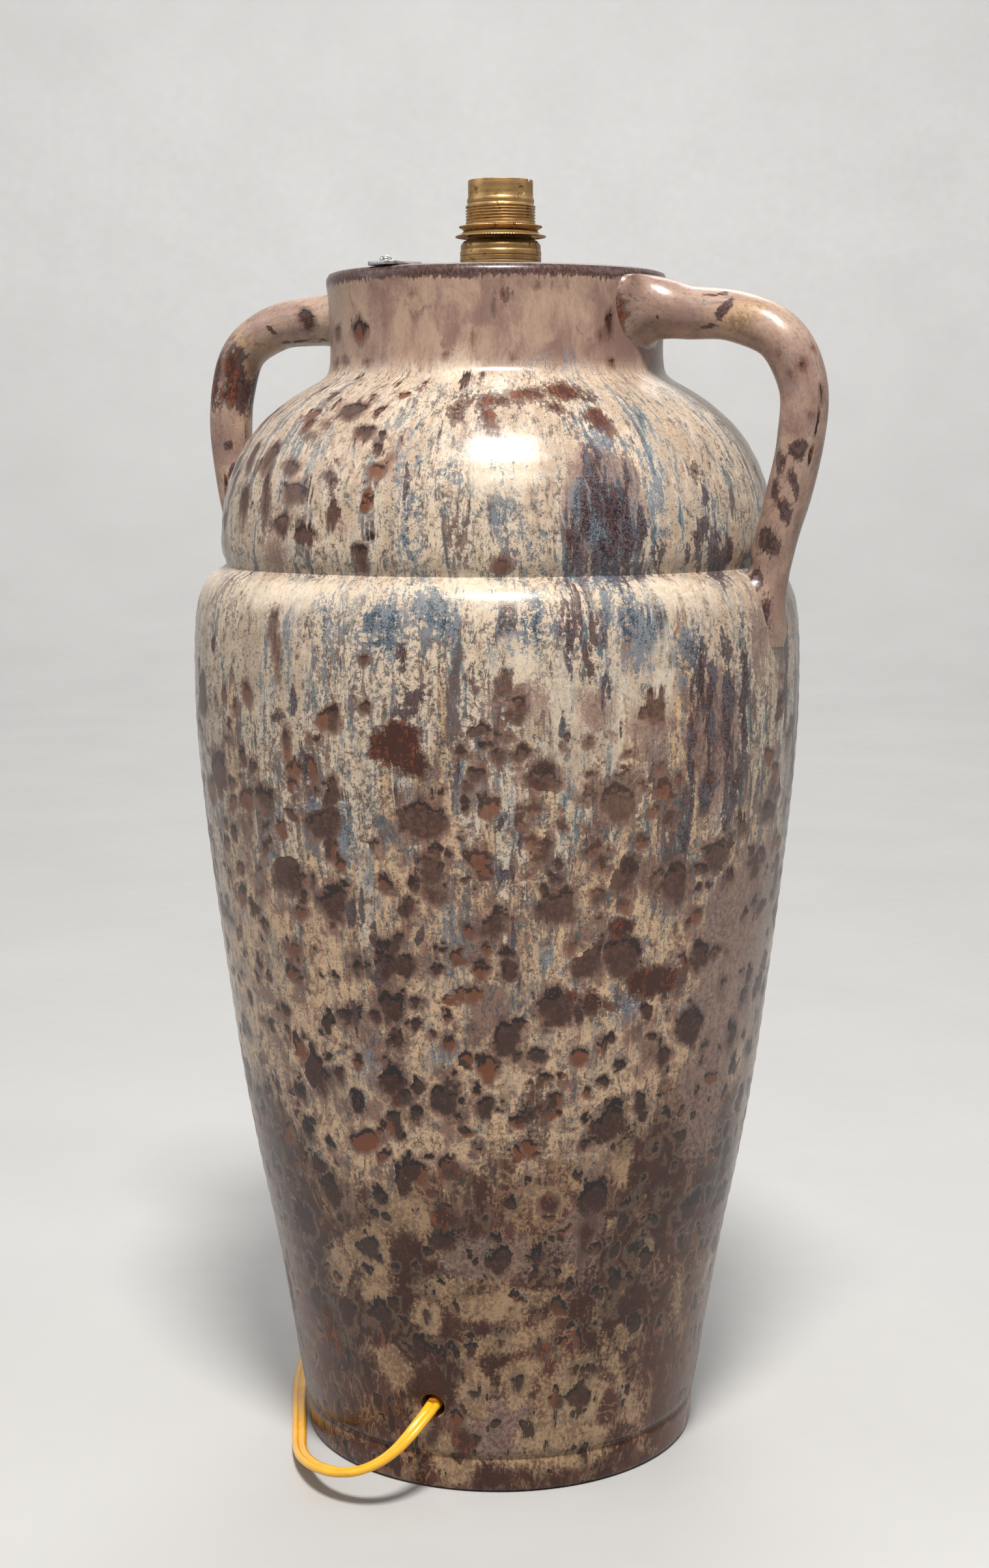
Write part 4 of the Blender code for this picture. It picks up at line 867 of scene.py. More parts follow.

# ---------------------------------------------------------------- what the glaze does where, with one painted highlight among the marks
# Each entry: kind, across and down in the view (of 1519 by 2408), breadth, height, tilt in degrees.
SPOT, RUST, DARK, BLUE, TAN, MAUVE, PALE = range(7)
NOTES = [
    # dome
    (RUST, 752, 642, 14, 46, 25), (RUST, 768, 614, 50, 16, -18), (RUST, 812, 604, 60, 16, 5), (RUST, 866, 601, 58, 20, 0), (RUST, 854, 626, 26, 20, 30),
    (RUST, 706, 626, 22, 26, 0), (RUST, 915, 640, 34, 24, -20), (DARK, 902, 610, 26, 12, 0),
    (DARK, 912, 735, 34, 90, 3), (DARK, 943, 790, 30, 130, -3), (DARK, 964, 775, 14, 150, -2), (DARK, 900, 800, 13, 120, 2), (DARK, 984, 815, 12, 90, -3), (DARK, 930, 840, 40, 50, 0), (MAUVE, 930, 770, 130, 190, 0), (BLUE, 935, 800, 120, 190, 0), (DARK, 880, 830, 22, 90, 0), (DARK, 965, 835, 26, 80, 0), (DARK, 1005, 850, 22, 60, 0),
    # the PALE patch at the front of the dome is a painted highlight, laid where the light's highlight falls on the dome
    (BLUE, 628, 780, 34, 180, 5), (DARK, 624, 745, 8, 90, 4), (BLUE, 618, 700, 26, 50, 0), (BLUE, 770, 800, 26, 150, 0), (BLUE, 815, 815, 20, 120, 0), (BLUE, 690, 715, 30, 50, 0), (PALE, 775, 700, 110, 100, 0),
    (SPOT, 543, 629, 46, 24, -10), (SPOT, 558, 662, 34, 22, 0), (SPOT, 451, 713, 30, 34, 0), (SPOT, 451, 759, 36, 34, 0), (SPOT, 410, 750, 14, 90, 12), (SPOT, 431, 805, 26, 40, 0),
    (SPOT, 576, 723, 34, 30, 0), (SPOT, 553, 856, 30, 40, 0), (SPOT, 768, 866, 26, 30, 0), (MAUVE, 420, 846, 24, 50, 0), (RUST, 513, 738, 16, 18, 0), (SPOT, 505, 728, 26, 22, 0),
    (SPOT, 388, 700, 12, 50, 14), (SPOT, 372, 770, 10, 60, 6), (SPOT, 476, 668, 18, 12, 0), (SPOT, 500, 650, 22, 10, -20), (SPOT, 598, 700, 16, 14, 0),
    (DARK, 1075, 830, 20, 70, -6), (DARK, 1100, 850, 20, 56, -8), (DARK, 1055, 850, 16, 44, 0), (DARK, 1120, 845, 14, 50, -10), (BLUE, 1010, 760, 26, 90, -6), (BLUE, 1000, 700, 30, 40, 0),
    (BLUE, 1090, 790, 16, 70, -8), (RUST, 1068, 725, 9, 18, 0), (DARK, 1085, 762, 10, 34, -10), (BLUE, 920, 660, 50, 50, 0), (SPOT, 938, 662, 20, 14, 0),
    # shoulder under the step
    (PALE, 700, 903, 230, 36, 0), (PALE, 450, 905, 150, 30, 0), (PALE, 1010, 905, 150, 26, 0),
    (BLUE, 665, 935, 80, 80, 0), (BLUE, 590, 965, 80, 110, 0), (DARK, 615, 1004, 16, 44, 0), (BLUE, 820, 950, 60, 80, 0), (BLUE, 975, 950, 70, 130, 0), (MAUVE, 975, 975, 40, 90, 0),
    (DARK, 875, 980, 14, 84, 3), (BLUE, 940, 930, 40, 60, 0), (SPOT, 420, 960, 14, 60, 5), (SPOT, 425, 1000, 10, 70, 5), (BLUE, 505, 950, 30, 90, 0),
    (DARK, 1062, 1130, 13, 220, 3), (DARK, 1090, 1110, 16, 210, 2), (DARK, 1118, 1080, 15, 240, 2), (DARK, 1142, 1060, 12, 190, 2), (DARK, 1075, 1040, 12, 120, 0), (DARK, 1048, 1290, 10, 70, 6),
    (MAUVE, 1100, 1120, 80, 220, 0), (DARK, 1172, 935, 28, 52, -6), (MAUVE, 1165, 980, 24, 110, 0), (BLUE, 1060, 1000, 50, 110, 0),
    (RUST, 612, 1136, 66, 60, 10), (RUST, 588, 1146, 28, 30, 0), (RUST, 640, 1170, 40, 40, 0), (BLUE, 569, 1147, 22, 40, 0), (BLUE, 640, 1110, 30, 36, 0), (DARK, 640, 1070, 30, 24, 0), (DARK, 625, 1095, 34, 16, 0),
    (SPOT, 559, 1085, 26, 28, 0), (SPOT, 559, 1010, 18, 22, 0), (SPOT, 502, 1101, 36, 50, 0), (SPOT, 482, 1193, 22, 24, 0), (BLUE, 482, 1238, 40, 90, 0), (SPOT, 515, 1210, 22, 34, 0),
    (SPOT, 380, 1060, 14, 46, 0), (DARK, 425, 1100, 26, 12, 10), (SPOT, 440, 1140, 16, 60, 5), (SPOT, 380, 1225, 22, 40, 0), (DARK, 450, 1075, 10, 44, 10), (BLUE, 520, 1280, 60, 110, 0),
    (DARK, 470, 1180, 12, 90, 6), (DARK, 700, 1180, 9, 70, -4), (DARK, 835, 1210, 10, 80, 5), (DARK, 640, 1350, 8, 80, 3), (DARK, 900, 1290, 9, 90, -6), (DARK, 862, 1120, 8, 60, 0), (DARK, 957, 1118, 8, 46, 0), (DARK, 930, 1060, 12, 60, 0), (PALE, 862, 1070, 30, 120, 0), (PALE, 957, 1060, 26, 140, 0), (PALE, 1015, 1030, 40, 110, 0), (PALE, 793, 1010, 60, 60, 0),
    (MAUVE, 790, 1075, 90, 60, 0), (MAUVE, 916, 1085, 50, 60, 0), (MAUVE, 1005, 1115, 60, 90, 0), (RUST, 782, 1098, 16, 14, 0), (SPOT, 725, 1165, 18, 28, 0), (SPOT, 770, 1160, 30, 36, 0),
    (SPOT, 962, 1231, 24, 24, 0), (SPOT, 1005, 1244, 28, 28, 0), (SPOT, 1013, 1177, 22, 22, 0), (SPOT, 1046, 1193, 20, 24, 0), (SPOT, 905, 1140, 24, 26, 0), (DARK, 1085, 1210, 22, 40, 0), (DARK, 1130, 1200, 18, 50, 0),
    (BLUE, 720, 1215, 60, 50, 0), (SPOT, 715, 1205, 26, 24, 0), (SPOT, 740, 1190, 20, 30, 20), (DARK, 795, 1310, 9, 110, -12), (DARK, 790, 1440, 8, 110, 4), (DARK, 770, 1340, 26, 22, 0), (DARK, 770, 1265, 10, 36, -30),
    (RUST, 953, 1419, 26, 26, 0), (SPOT, 960, 1385, 26, 30, 0), (SPOT, 920, 1375, 30, 26, 0), (SPOT, 870, 1395, 26, 36, 0), (SPOT, 850, 1370, 22, 22, 0), (SPOT, 915, 1220, 20, 22, 0),
    # the shaded side: slate and mauve washes
    (MAUVE, 1135, 1450, 110, 300, 0), (BLUE, 1080, 1330, 26, 90, 0), (MAUVE, 1085, 1660, 70, 180, 0), (BLUE, 1060, 1560, 40, 60, 0),
    (BLUE, 845, 1480, 30, 60, 0), (BLUE, 880, 1500, 24, 40, 20), (BLUE, 420, 1290, 30, 120, 0), (BLUE, 690, 1440, 22, 60, 0), (BLUE, 560, 1640, 30, 50, 20), (DARK, 545, 1560, 9, 90, 4), (DARK, 560, 1400, 8, 90, 6),
    (DARK, 655, 1440, 7, 60, 10), (DARK, 640, 1445, 7, 50, -14), (DARK, 800, 1505, 7, 44, -16), (DARK, 585, 1490, 8, 70, -10),
    # middle and lower
    (RUST, 1006, 1504, 72, 42, 6), (RUST, 903, 1536, 56, 24, -22), (BLUE, 960, 1540, 60, 60, 0), (BLUE, 985, 1460, 40, 40, 0), (DARK, 583, 1460, 9, 110, 0), (DARK, 578, 1500, 22, 26, 0), (DARK, 540, 1400, 18, 44, 0),
    (SPOT, 725, 1527, 34, 30, 0), (SPOT, 779, 1593, 40, 34, 0), (SPOT, 822, 1619, 46, 28, 0), (SPOT, 745, 1639, 42, 40, 0), (BLUE, 684, 1612, 40, 40, 0), (SPOT, 688, 1598, 28, 26, 0), (SPOT, 613, 1685, 40, 34, 0), (RUST, 612, 1690, 22, 16, 0),
    (SPOT, 684, 1685, 44, 48, 0), (SPOT, 558, 1748, 60, 44, 20), (SPOT, 607, 1725, 30, 40, 0), (SPOT, 633, 1794, 50, 42, 0), (SPOT, 693, 1794, 46, 40, 0), (RUST, 697, 1796, 24, 20, 0), (SPOT, 811, 1759, 44, 28, 0),
    (SPOT, 983, 1699, 26, 26, 0), (SPOT, 1043, 1742, 28, 28, 0), (SPOT, 894, 1621, 28, 26, 0), (SPOT, 1020, 1621, 28, 26, 0), (SPOT, 759, 1795, 15, 34, 0), (SPOT, 575, 1560, 28, 30, 0), (SPOT, 610, 1440, 26, 34, 0),
    (SPOT, 630, 1390, 30, 34, 0), (SPOT, 460, 1400, 30, 26, 0), (SPOT, 450, 1460, 34, 26, 10), (SPOT, 480, 1350, 16, 30, 0), (SPOT, 505, 1310, 20, 26, 0), (SPOT, 640, 1540, 24, 24, 0), (SPOT, 720, 1430, 26, 30, 0),
    (SPOT, 655, 1275, 22, 36, 0), (SPOT, 660, 1320, 26, 26, 0), (SPOT, 520, 1650, 26, 26, 0), (SPOT, 745, 1700, 30, 34, 0), (SPOT, 880, 1450, 24, 30, 0), (SPOT, 1065, 1480, 20, 30, 0), (SPOT, 1070, 1400, 22, 28, 0),
    (RUST, 828, 1700, 12, 50, 10), (TAN, 950, 1780, 26, 50, 10), (SPOT, 850, 1690, 28, 34, 0), (SPOT, 905, 1755, 26, 24, 0), (DARK, 757, 1800, 12, 36, 5),
    # foot
    (TAN, 797, 2120, 62, 66, 0), (SPOT, 797, 2122, 32, 34, 0), (TAN, 728, 2141, 50, 52, 0), (SPOT, 728, 2141, 22, 22, 0), (TAN, 880, 2140, 90, 90, 0), (SPOT, 891, 2143, 38, 34, 0), (SPOT, 854, 2147, 28, 30, 0), (SPOT, 884, 2102, 30, 24, 0), (TAN, 888, 2100, 60, 44, 0),
    (SPOT, 718, 2082, 18, 20, 0), (RUST, 832, 2071, 18, 22, 0), (SPOT, 787, 2012, 14, 14, 0), (TAN, 656, 2020, 44, 44, 0), (SPOT, 656, 2020, 20, 24, 0), (TAN, 566, 1916, 70, 70, 0), (SPOT, 569, 1916, 34, 34, 0), (SPOT, 520, 1869, 20, 20, 0), (SPOT, 508, 1838, 22, 22, 0),
    (TAN, 844, 1849, 60, 50, 0), (RUST, 844, 1849, 28, 24, 0), (RUST, 690, 1868, 40, 26, -20), (SPOT, 744, 1873, 20, 20, 0), (SPOT, 758, 1900, 20, 20, 0), (SPOT, 938, 1953, 18, 18, 0), (RUST, 901, 1896, 26, 60, -8), (MAUVE, 895, 1900, 60, 100, 0),
    (TAN, 956, 2125, 12, 140, 28), (TAN, 971, 2169, 22, 22, 0), (TAN, 889, 1806, 20, 34, 0), (TAN, 956, 1775, 16, 44, 10), (TAN, 940, 1880, 26, 22, 0), (TAN, 867, 1949, 26, 24, 0), (TAN, 960, 2050, 34, 34, 0), (SPOT, 962, 2040, 12, 12, 0),
    (TAN, 767, 2002, 140, 34, 4), (TAN, 770, 2060, 110, 26, 18), (TAN, 720, 2100, 30, 60, 30), (TAN, 612, 1860, 30, 70, -30), (TAN, 640, 1872, 26, 70, 30), (TAN, 848, 2196, 90, 50, 0), (TAN, 850, 2235, 130, 22, 0), (TAN, 700, 2232, 70, 40, 10),
    (TAN, 905, 2215, 46, 44, 0), (TAN, 640, 2175, 24, 40, 0), (TAN, 605, 2095, 40, 60, 20), (MAUVE, 770, 2190, 120, 90, 0), (MAUVE, 760, 1930, 160, 60, 0), (RUST, 712, 2210, 26, 30, 0), (RUST, 667, 2210, 10, 12, 0), (RUST, 508, 2030, 20, 70, 0),
    (TAN, 520, 1945, 30, 60, 0), (TAN, 580, 1975, 50, 30, 20), (TAN, 700, 1975, 90, 20, 8), (SPOT, 700, 2180, 26, 30, 0), (SPOT, 730, 2205, 30, 26, 0), (TAN, 1040, 1990, 12, 60, 20), (TAN, 990, 1920, 16, 30, 0), (BLUE, 880, 2170, 60, 50, 0),
    # collar
    (SPOT, 552, 507, 22, 32, 0), (SPOT, 565, 555, 14, 14, 0), (SPOT, 530, 552, 10, 12, 0), (SPOT, 632, 450, 8, 8, 0), (SPOT, 758, 474, 8, 14, 0), (RUST, 774, 452, 10, 10, 0), (SPOT, 826, 436, 12, 10, 0), (SPOT, 936, 497, 18, 40, 8), (SPOT, 922, 512, 12, 18, 0),
    (SPOT, 939, 556, 14, 14, 0), (BLUE, 828, 553, 28, 14, 0), (BLUE, 880, 545, 16, 20, 0), (SPOT, 727, 518, 6, 14, 0), (SPOT, 684, 545, 9, 12, 0), (SPOT, 788, 548, 10, 12, 0), (PALE, 700, 560, 60, 40, 0),
    (MAUVE, 740, 410, 110, 14, 0), (DARK, 660, 415, 60, 8, 0), (DARK, 850, 413, 80, 8, 0), (DARK, 940, 412, 60, 10, 0), (DARK, 570, 420, 60, 8, 0),
    # handles
    (DARK, 1111, 478, 34, 9, 42), (DARK, 1100, 452, 34, 7, 5), (SPOT, 1231, 558, 20, 24, 0), (BLUE, 1222, 591, 14, 9, 0), (DARK, 1228, 687, 22, 28, 0), (DARK, 1220, 735, 13, 46, 8), (DARK, 1204, 780, 20, 34, 8), (DARK, 1185, 839, 38, 34, 10), (DARK, 1160, 884, 18, 36, 0),
    (MAUVE, 1072, 478, 30, 14, 0), (MAUVE, 1028, 486, 14, 16, 0), (MAUVE, 1155, 508, 20, 16, 0), (MAUVE, 1126, 497, 28, 12, 0), (SPOT, 1249, 535, 12, 14, 0), (SPOT, 1215, 575, 10, 20, 20), (RUST, 952, 486, 10, 40, 0), (DARK, 1008, 489, 10, 10, 0), (BLUE, 1075, 466, 24, 10, 0),
    (SPOT, 1196, 541, 10, 10, 0), (SPOT, 1246, 637, 10, 10, 0), (MAUVE, 1232, 612, 22, 26, 0), (MAUVE, 1215, 660, 20, 24, 0), (SPOT, 1262, 600, 8, 14, 0), (SPOT, 1170, 452, 9, 8, 0), (TAN, 1150, 470, 50, 20, 10),
    (RUST, 356, 566, 18, 30, 0), (RUST, 354, 602, 22, 30, 0), (DARK, 366, 580, 34, 90, 6), (SPOT, 469, 486, 36, 26, 0), (MAUVE, 421, 484, 24, 18, 0), (MAUVE, 390, 505, 16, 12, -30), (TAN, 370, 520, 20, 14, -40),
]
F_PX = 53.33 / 36.0 * 2408
from mathutils.bvhtree import BVHTree


def points_of(o):
    co = np.zeros(len(o.data.vertices) * 3, np.float64)
    o.data.vertices.foreach_get("co", co)
    return co.reshape(-1, 3)


targets = [vase, right_handle, left_handle]
trees = []
for o in targets:
    trees.append(BVHTree.FromPolygons([v.co.copy() for v in o.data.vertices], [list(p.vertices) for p in o.data.polygons]))
eye = cam.matrix_world.translation.copy()
CREST = 7
LAYERS = {o.name: np.full((len(o.data.vertices), 8), -1.0) for o in targets}
coords = {o.name: points_of(o) for o in targets}
from mathutils import noise as mnoise
RAGGED = {}
for o in targets:
    RAGGED[o.name] = np.array([mnoise.noise_vector(Vector(p) * 95.0) * 0.0030 + mnoise.noise_vector(Vector(p) * 260.0) * 0.0016 for p in coords[o.name]])
outer_of_vase = np.array([n_under <= i < n_under + n_out + 4 for _, i, _ in place])


def dab(o, kind, at, normal, a, b, tilt, strength=1.0):
    """Adds one soft ellipse, half axes a across and b along the fall, in metres, to a layer's field."""
    normal = Vector(normal).normalized()
    u = Vector((0, 0, 1)).cross(normal)
    u = u.normalized() if u.length > 1e-5 else Vector((1, 0, 0))
    v = normal.cross(u)
    t = math.radians(tilt)
    u, v = u * math.cos(t) + v * math.sin(t), v * math.cos(t) - u * math.sin(t)
    co = coords[o.name]
    d = co - np.array(at)
    reach = 2.5 * max(a, b) + 0.012
    sel = np.nonzero((d * d).sum(1) < reach * reach)[0]
    if not len(sel):
        return
    amount = min(1.0, min(a, b) / 0.0045)
    dd = d[sel] + RAGGED[o.name][sel] * amount
    L = LAYERS[o.name]
    for layer, fall in ((kind, 0.0), (CREST, 0.28 * b)) if kind == SPOT else ((kind, 0.0),):
        across, down = dd @ np.array(u), dd @ np.array(v) + fall
        # a mark is blunt above and drawn out below
        down = np.where(down < 0, down * 0.82, down * 1.12)
        q = np.sqrt((across / a) ** 2 + (down / b) ** 2)
        sdf = np.clip((1 - q) * max(min(a, b) / 0.010, 0.42 if kind == DARK else 0.0) * strength, -1, 1)
        L[sel, layer] = np.maximum(L[sel, layer], sdf)


rnd = random.Random(41)
for kind, px, py, w, h, tilt in NOTES:
    ray = (cam_right * ((px - 759.5) / F_PX) + cam_up * ((1204 - py) / F_PX) - back).normalized()
    best = None
    for k, tree in enumerate(trees):
        hit, nrm, _, dist = tree.ray_cast(eye, ray)
        if hit is not None and (best is None or dist < best[0]):
            best = (dist, k, hit, nrm)
    if best is None:
        continue
    dist, k, hit, nrm = best
    if nrm.dot(ray) > 0:
        nrm = -nrm
    scale = dist / F_PX
    side_n = Vector((nrm.x, nrm.y, 0))
    facing = abs(side_n.normalized().dot(Vector((ray.x, ray.y, 0)).normalized())) if side_n.length > 0.2 else 1.0
    rise = max(abs(nrm.dot(ray)) / max(facing, 0.3), 0.35) if k == 0 else 1.0
    a = 0.5 * w * scale / (max(facing, 0.38) if k == 0 else 1.0)
    b = 0.5 * h * scale / rise
    dab(targets[k], kind, hit, nrm, a, b, tilt)
    if k == 0:
        # the sides and the back carry the same sort of marks, moved round, turned over and shifted
        for turn_deg, mirror in ((118, True), (-121, True), (180, False)):
            if turn_deg == 180 and rnd.random() < 0.45:
                continue
            phi = math.degrees(math.atan2(hit.y, hit.x)) + 61.0
            phi = (-phi if mirror else phi) + turn_deg + rnd.uniform(-4, 4)
            r = math.hypot(hit.x, hit.y)
            z = hit.z * 1000 + rnd.uniform(-9, 9) * smooth((hit.z * 1000 - 20) / 40) * smooth((330 - hit.z * 1000) / 30)
            r = wall_radius(min(max(z, 16.5), 458.5)) * MM
            nphi = math.degrees(math.atan2(nrm.y, nrm.x)) + 61.0
            n2 = polar(phi - 61.0, math.hypot(nrm.x, nrm.y), nrm.z)
            g = rnd.uniform(0.75, 1.2)
            if kind == BLUE and z < 170:
                continue
            dab(vase, kind, polar(phi - 61.0, r, z * MM), n2, a * g, b * g * rnd.uniform(0.85, 1.15), -tilt if mirror else tilt)
    elif k == 1:
        rel = Vector((hit.x, -hit.y, hit.z))
        dab(right_handle, kind, rel + Vector((0, 0, rnd.uniform(-0.006, 0.006))), (nrm.x, -nrm.y, nrm.z), a, b, -tilt)
        dab(left_handle, kind, Vector((-hit.x, -hit.y, hit.z)), (-nrm.x, -nrm.y, nrm.z), a * 0.8, b * 0.8, tilt)
    else:
        dab(left_handle, kind, Vector((hit.x, -hit.y, hit.z)), (nrm.x, -nrm.y, nrm.z), a, b, -tilt)

for o in targets:
    co = coords[o.name] * 1000
    z = co[:, 2]
    phi = (np.degrees(np.arctan2(co[:, 1], co[:, 0])) + 61.0 + 180) % 360 - 180
    rad = np.hypot(co[:, 0], co[:, 1])
    L = LAYERS[o.name]
    pr = np.radians(phi)
    if o is vase:
        side = np.clip(np.abs(phi), 0, 95)
        edge = 116 + 0.42 * side + 24 * np.exp(-((phi - 44) / 20.0) ** 2) + 9 * np.sin(3 * pr + 0.8) + 6 * np.sin(7 * pr + 2.0) + 12 * np.exp(-((phi + 62) / 18.0) ** 2)
        low = np.clip((edge - z) / 90.0, -1, 1)
        collar = np.clip((z - 419) / 8.0, 0, 1) * 0.92
        speckle = 0.80 - 0.15 * np.clip((z - 340) / 40, 0, 1) - 0.35 * collar
        streaky = np.clip((z - 130) / 130, 0.20, 1) * np.clip((432 - z) / 30, 0.10, 1)
        streaky = streaky * (0.70 + 0.30 * np.clip(0.5 + 0.5 * np.sin(2 * pr + 0.5) + 0.4 * np.sin(5 * pr), 0, 1))
        tongue = 18 * np.sin(5 * pr + 0.7) + 12 * np.sin(11 * pr + 1.9) + 7 * np.sin(19 * pr + 0.2)
        spotty = np.clip((322 + tongue - z) / 60, 0.0, 1) * np.clip((z - 20) / 60, 0.55, 1)
        spotty = np.maximum(spotty, 0.52 * np.clip((z - 352) / 10, 0, 1) * (1 - collar) * np.clip(0.55 - phi / 60, 0.35, 1.0))
        spotty = np.where(z > 421, 0.0, spotty)
        column = 0.34 * np.sin(9 * pr + 0.4) + 0.30 * np.sin(16 * pr + 2.1) + 0.26 * np.sin(27 * pr + 1.1) + 0.20 * np.sin(41 * pr + 0.3)
        curtain = np.clip((z - 262 - 20 * np.exp(-((phi - 35) / 30.0) ** 2)) / 62.0 + 0.85 * column, -1.5, 1.5)
        warm = np.clip((np.abs(phi + 4) - 40) / 26.0, 0, 1) * np.clip((120 - z) / 50, 0, 1) * 0.9
        L[:, DARK] = np.maximum(L[:, DARK], np.clip((z - 454.0) / 8.0, -1, 0.30) * np.where(z > 440, 1, 0) + np.where(z > 440, 0, -1))
        az = np.radians([p[0] for p in place])
        arcs = np.array([arc[p[1]] for p in place]) * MM
        wrapc = np.stack([0.1 * np.cos(az), 0.1 * np.sin(az), arcs], 1)
    else:
        low = np.full(len(z), -1.0)
        collar = np.full(len(z), 0.80)
        speckle = np.full(len(z), 0.75)
        streaky = np.full(len(z), 0.20)
        spotty = np.full(len(z), 0.34)
        curtain = np.full(len(z), 1.5)
        warm = np.zeros(len(z))
        wrapc = None
    me = o.data
    for name, cols in (("field_a", (L[:, SPOT], L[:, RUST], L[:, DARK], L[:, BLUE])), ("field_b", (L[:, TAN], L[:, MAUVE], L[:, PALE], low)),
                       ("field_c", (collar, speckle, streaky, spotty)), ("field_d", (L[:, CREST], curtain, warm, warm * 0 + 1))):
        at = me.attributes.new(name, "FLOAT_COLOR", "POINT")
        at.data.foreach_set("color", np.stack(cols, 1).astype(np.float32).ravel())
    if wrapc is not None:
        at = me.attributes.new("wrap", "FLOAT_VECTOR", "POINT")
        at.data.foreach_set("vector", wrapc.astype(np.float32).ravel())

# ---------------------------------------------------------------- turned parts
HOLD_X, HOLD_Y = 1.4, 0.8


def lathe(name, profile, sides, at=(HOLD_X, HOLD_Y), shape=None):
    """Turns a closed (height, radius) outline about a vertical line, mm; shape(row, angle, z, r) gives the point's own z and r."""
    bm = bmesh.new()
    rings = []
    for i, (z, r) in enumerate(profile):
        if r < 1e-6:
            rings.append([bm.verts.new((at[0] * MM, at[1] * MM, z * MM))])
            continue
        ring = []
        for k in range(sides):
            a = 2 * math.pi * k / sides
            zz, rr = shape(i, a, z, r) if shape else (z, r)
            ring.append(bm.verts.new(((at[0] + rr * math.cos(a)) * MM, (at[1] + rr * math.sin(a)) * MM, zz * MM)))
        rings.append(ring)
    n = len(rings)
    open_ends = len(rings[0]) == 1 and len(rings[-1]) == 1
    for j in range(n - 1 if open_ends else n):
        a, b = rings[j], rings[(j + 1) % n]
        for k in range(sides):
            q = (k + 1) % sides
            if len(a) == 1:
                bm.faces.new((a[0], b[q], b[k]))
            elif len(b) == 1:
                bm.faces.new((a[k], a[q], b[0]))
            else:
                bm.faces.new((a[k], a[q], b[q], b[k]))
    return bm


def raw(bm, name):
    bmesh.ops.recalc_face_normals(bm, faces=bm.faces[:])
    me = bpy.data.meshes.new(name)
    bm.to_mesh(me)
    bm.free()
    o = bpy.data.objects.new(name, me)
    scene.collection.objects.link(o)
    return o


def carve(bm, cutters, operation="DIFFERENCE"):
    """A bmesh with other closed bodies taken out of it."""
    base = raw(bm, "carved")
    tools = [raw(c, "tool_%d" % i) for i, c in enumerate(cutters)]
    for t in tools:
        md = base.modifiers.new("cut", "BOOLEAN")
        md.operation = operation
        md.object = t
        md.solver = "EXACT"
    bpy.context.view_layer.update()
    ev = base.evaluated_get(bpy.context.evaluated_depsgraph_get())
    out = bmesh.new()
    out.from_mesh(ev.to_mesh())
    ev.to_mesh_clear()
    for t in tools + [base]:
        bpy.data.objects.remove(t, do_unlink=True)
    bmesh.ops.dissolve_degenerate(out, dist=1e-7, edges=out.edges[:])
    return out


def turned(start, direction, stations, sides):
    """A bmesh of a round piece about a line, mm: stations are (distance along it, radius)."""
    d = Vector(direction).normalized()
    u = d.orthogonal().normalized()
    v = d.cross(u)
    bm = bmesh.new()
    rings = []
    for s, r in stations:
        p = Vector(start) + d * s
        if r < 1e-6:
            rings.append([bm.verts.new(p * MM)])
        else:
            rings.append([bm.verts.new((p + (u * math.cos(2 * math.pi * k / sides) + v * math.sin(2 * math.pi * k / sides)) * r) * MM) for k in range(sides)])
    for a, b in zip(rings[:-1], rings[1:]):
        for k in range(sides):
            q = (k + 1) % sides
            if len(a) == 1:
                bm.faces.new((a[0], b[q], b[k]))
            elif len(b) == 1:
                bm.faces.new((a[k], a[q], b[0]))
            else:
                bm.faces.new((a[k], a[q], b[q], b[k]))
    for ring in (rings[0], rings[-1]):
        if len(ring) > 1:
            bm.faces.new(ring)
    return bm


def block(centre, size, turn_deg=0.0):
    """A bmesh of a plain block for carving, mm."""
    bm = bmesh.new()
    bmesh.ops.create_cube(bm, size=1.0)
    a = math.radians(turn_deg)
    for v in bm.verts:
        x, y, z = (v.co[k] * size[k] for k in range(3))
        v.co = ((centre[0] + x * math.cos(a) - y * math.sin(a)) * MM, (centre[1] + x * math.sin(a) + y * math.cos(a)) * MM, (centre[2] + z) * MM)
    return bm


BARREL_TOP, BARREL_R, BORE_R, THREAD_R = 493.75, 12.45, 11.3, 13.4
PITCH = 1.12
prof = [(467.0, BORE_R), (467.0, 14.0), (467.2, 14.3), (467.8, 14.3), (468.0, 14.1), (468.05, THREAD_R)]
z = 468.3
while z < 484.0:
    prof.append((z, THREAD_R))
    z += 0.14
n_thread = (6, len(prof))
prof += [(484.15, 13.1), (484.3, 12.9), (484.9, 12.66), (485.3, 12.72), (485.9, 12.86), (486.5, 12.84), (487.0, 12.62), (487.4, BARREL_R), (489.0, BARREL_R), (491.0, BARREL_R),
         (BARREL_TOP - 0.45, BARREL_R), (BARREL_TOP - 0.15, BARREL_R - 0.1), (BARREL_TOP, BARREL_R - 0.35), (BARREL_TOP, BORE_R + 0.2), (BARREL_TOP - 0.2, BORE_R), (485.0, BORE_R), (475.0, BORE_R)]


def threaded(i, a, z, r):
    if n_thread[0] <= i < n_thread[1]:
        f = ((z - 468.3) / PITCH - a / (2 * math.pi)) % 1.0
        depth = 0.46 * max(0.0, math.cos(math.pi * min(abs(f - 0.5) / 0.42, 1.0) / 2)) ** 0.8
        fade = smooth((z - 468.4) / 0.8) * smooth((483.9 - z) / 0.9)
        plain = 0.25 + 0.75 * smooth((z - 477.6) / 1.2)
        return z, r - depth * fade * (plain if z > 476.0 else 1.0)
    return z, r


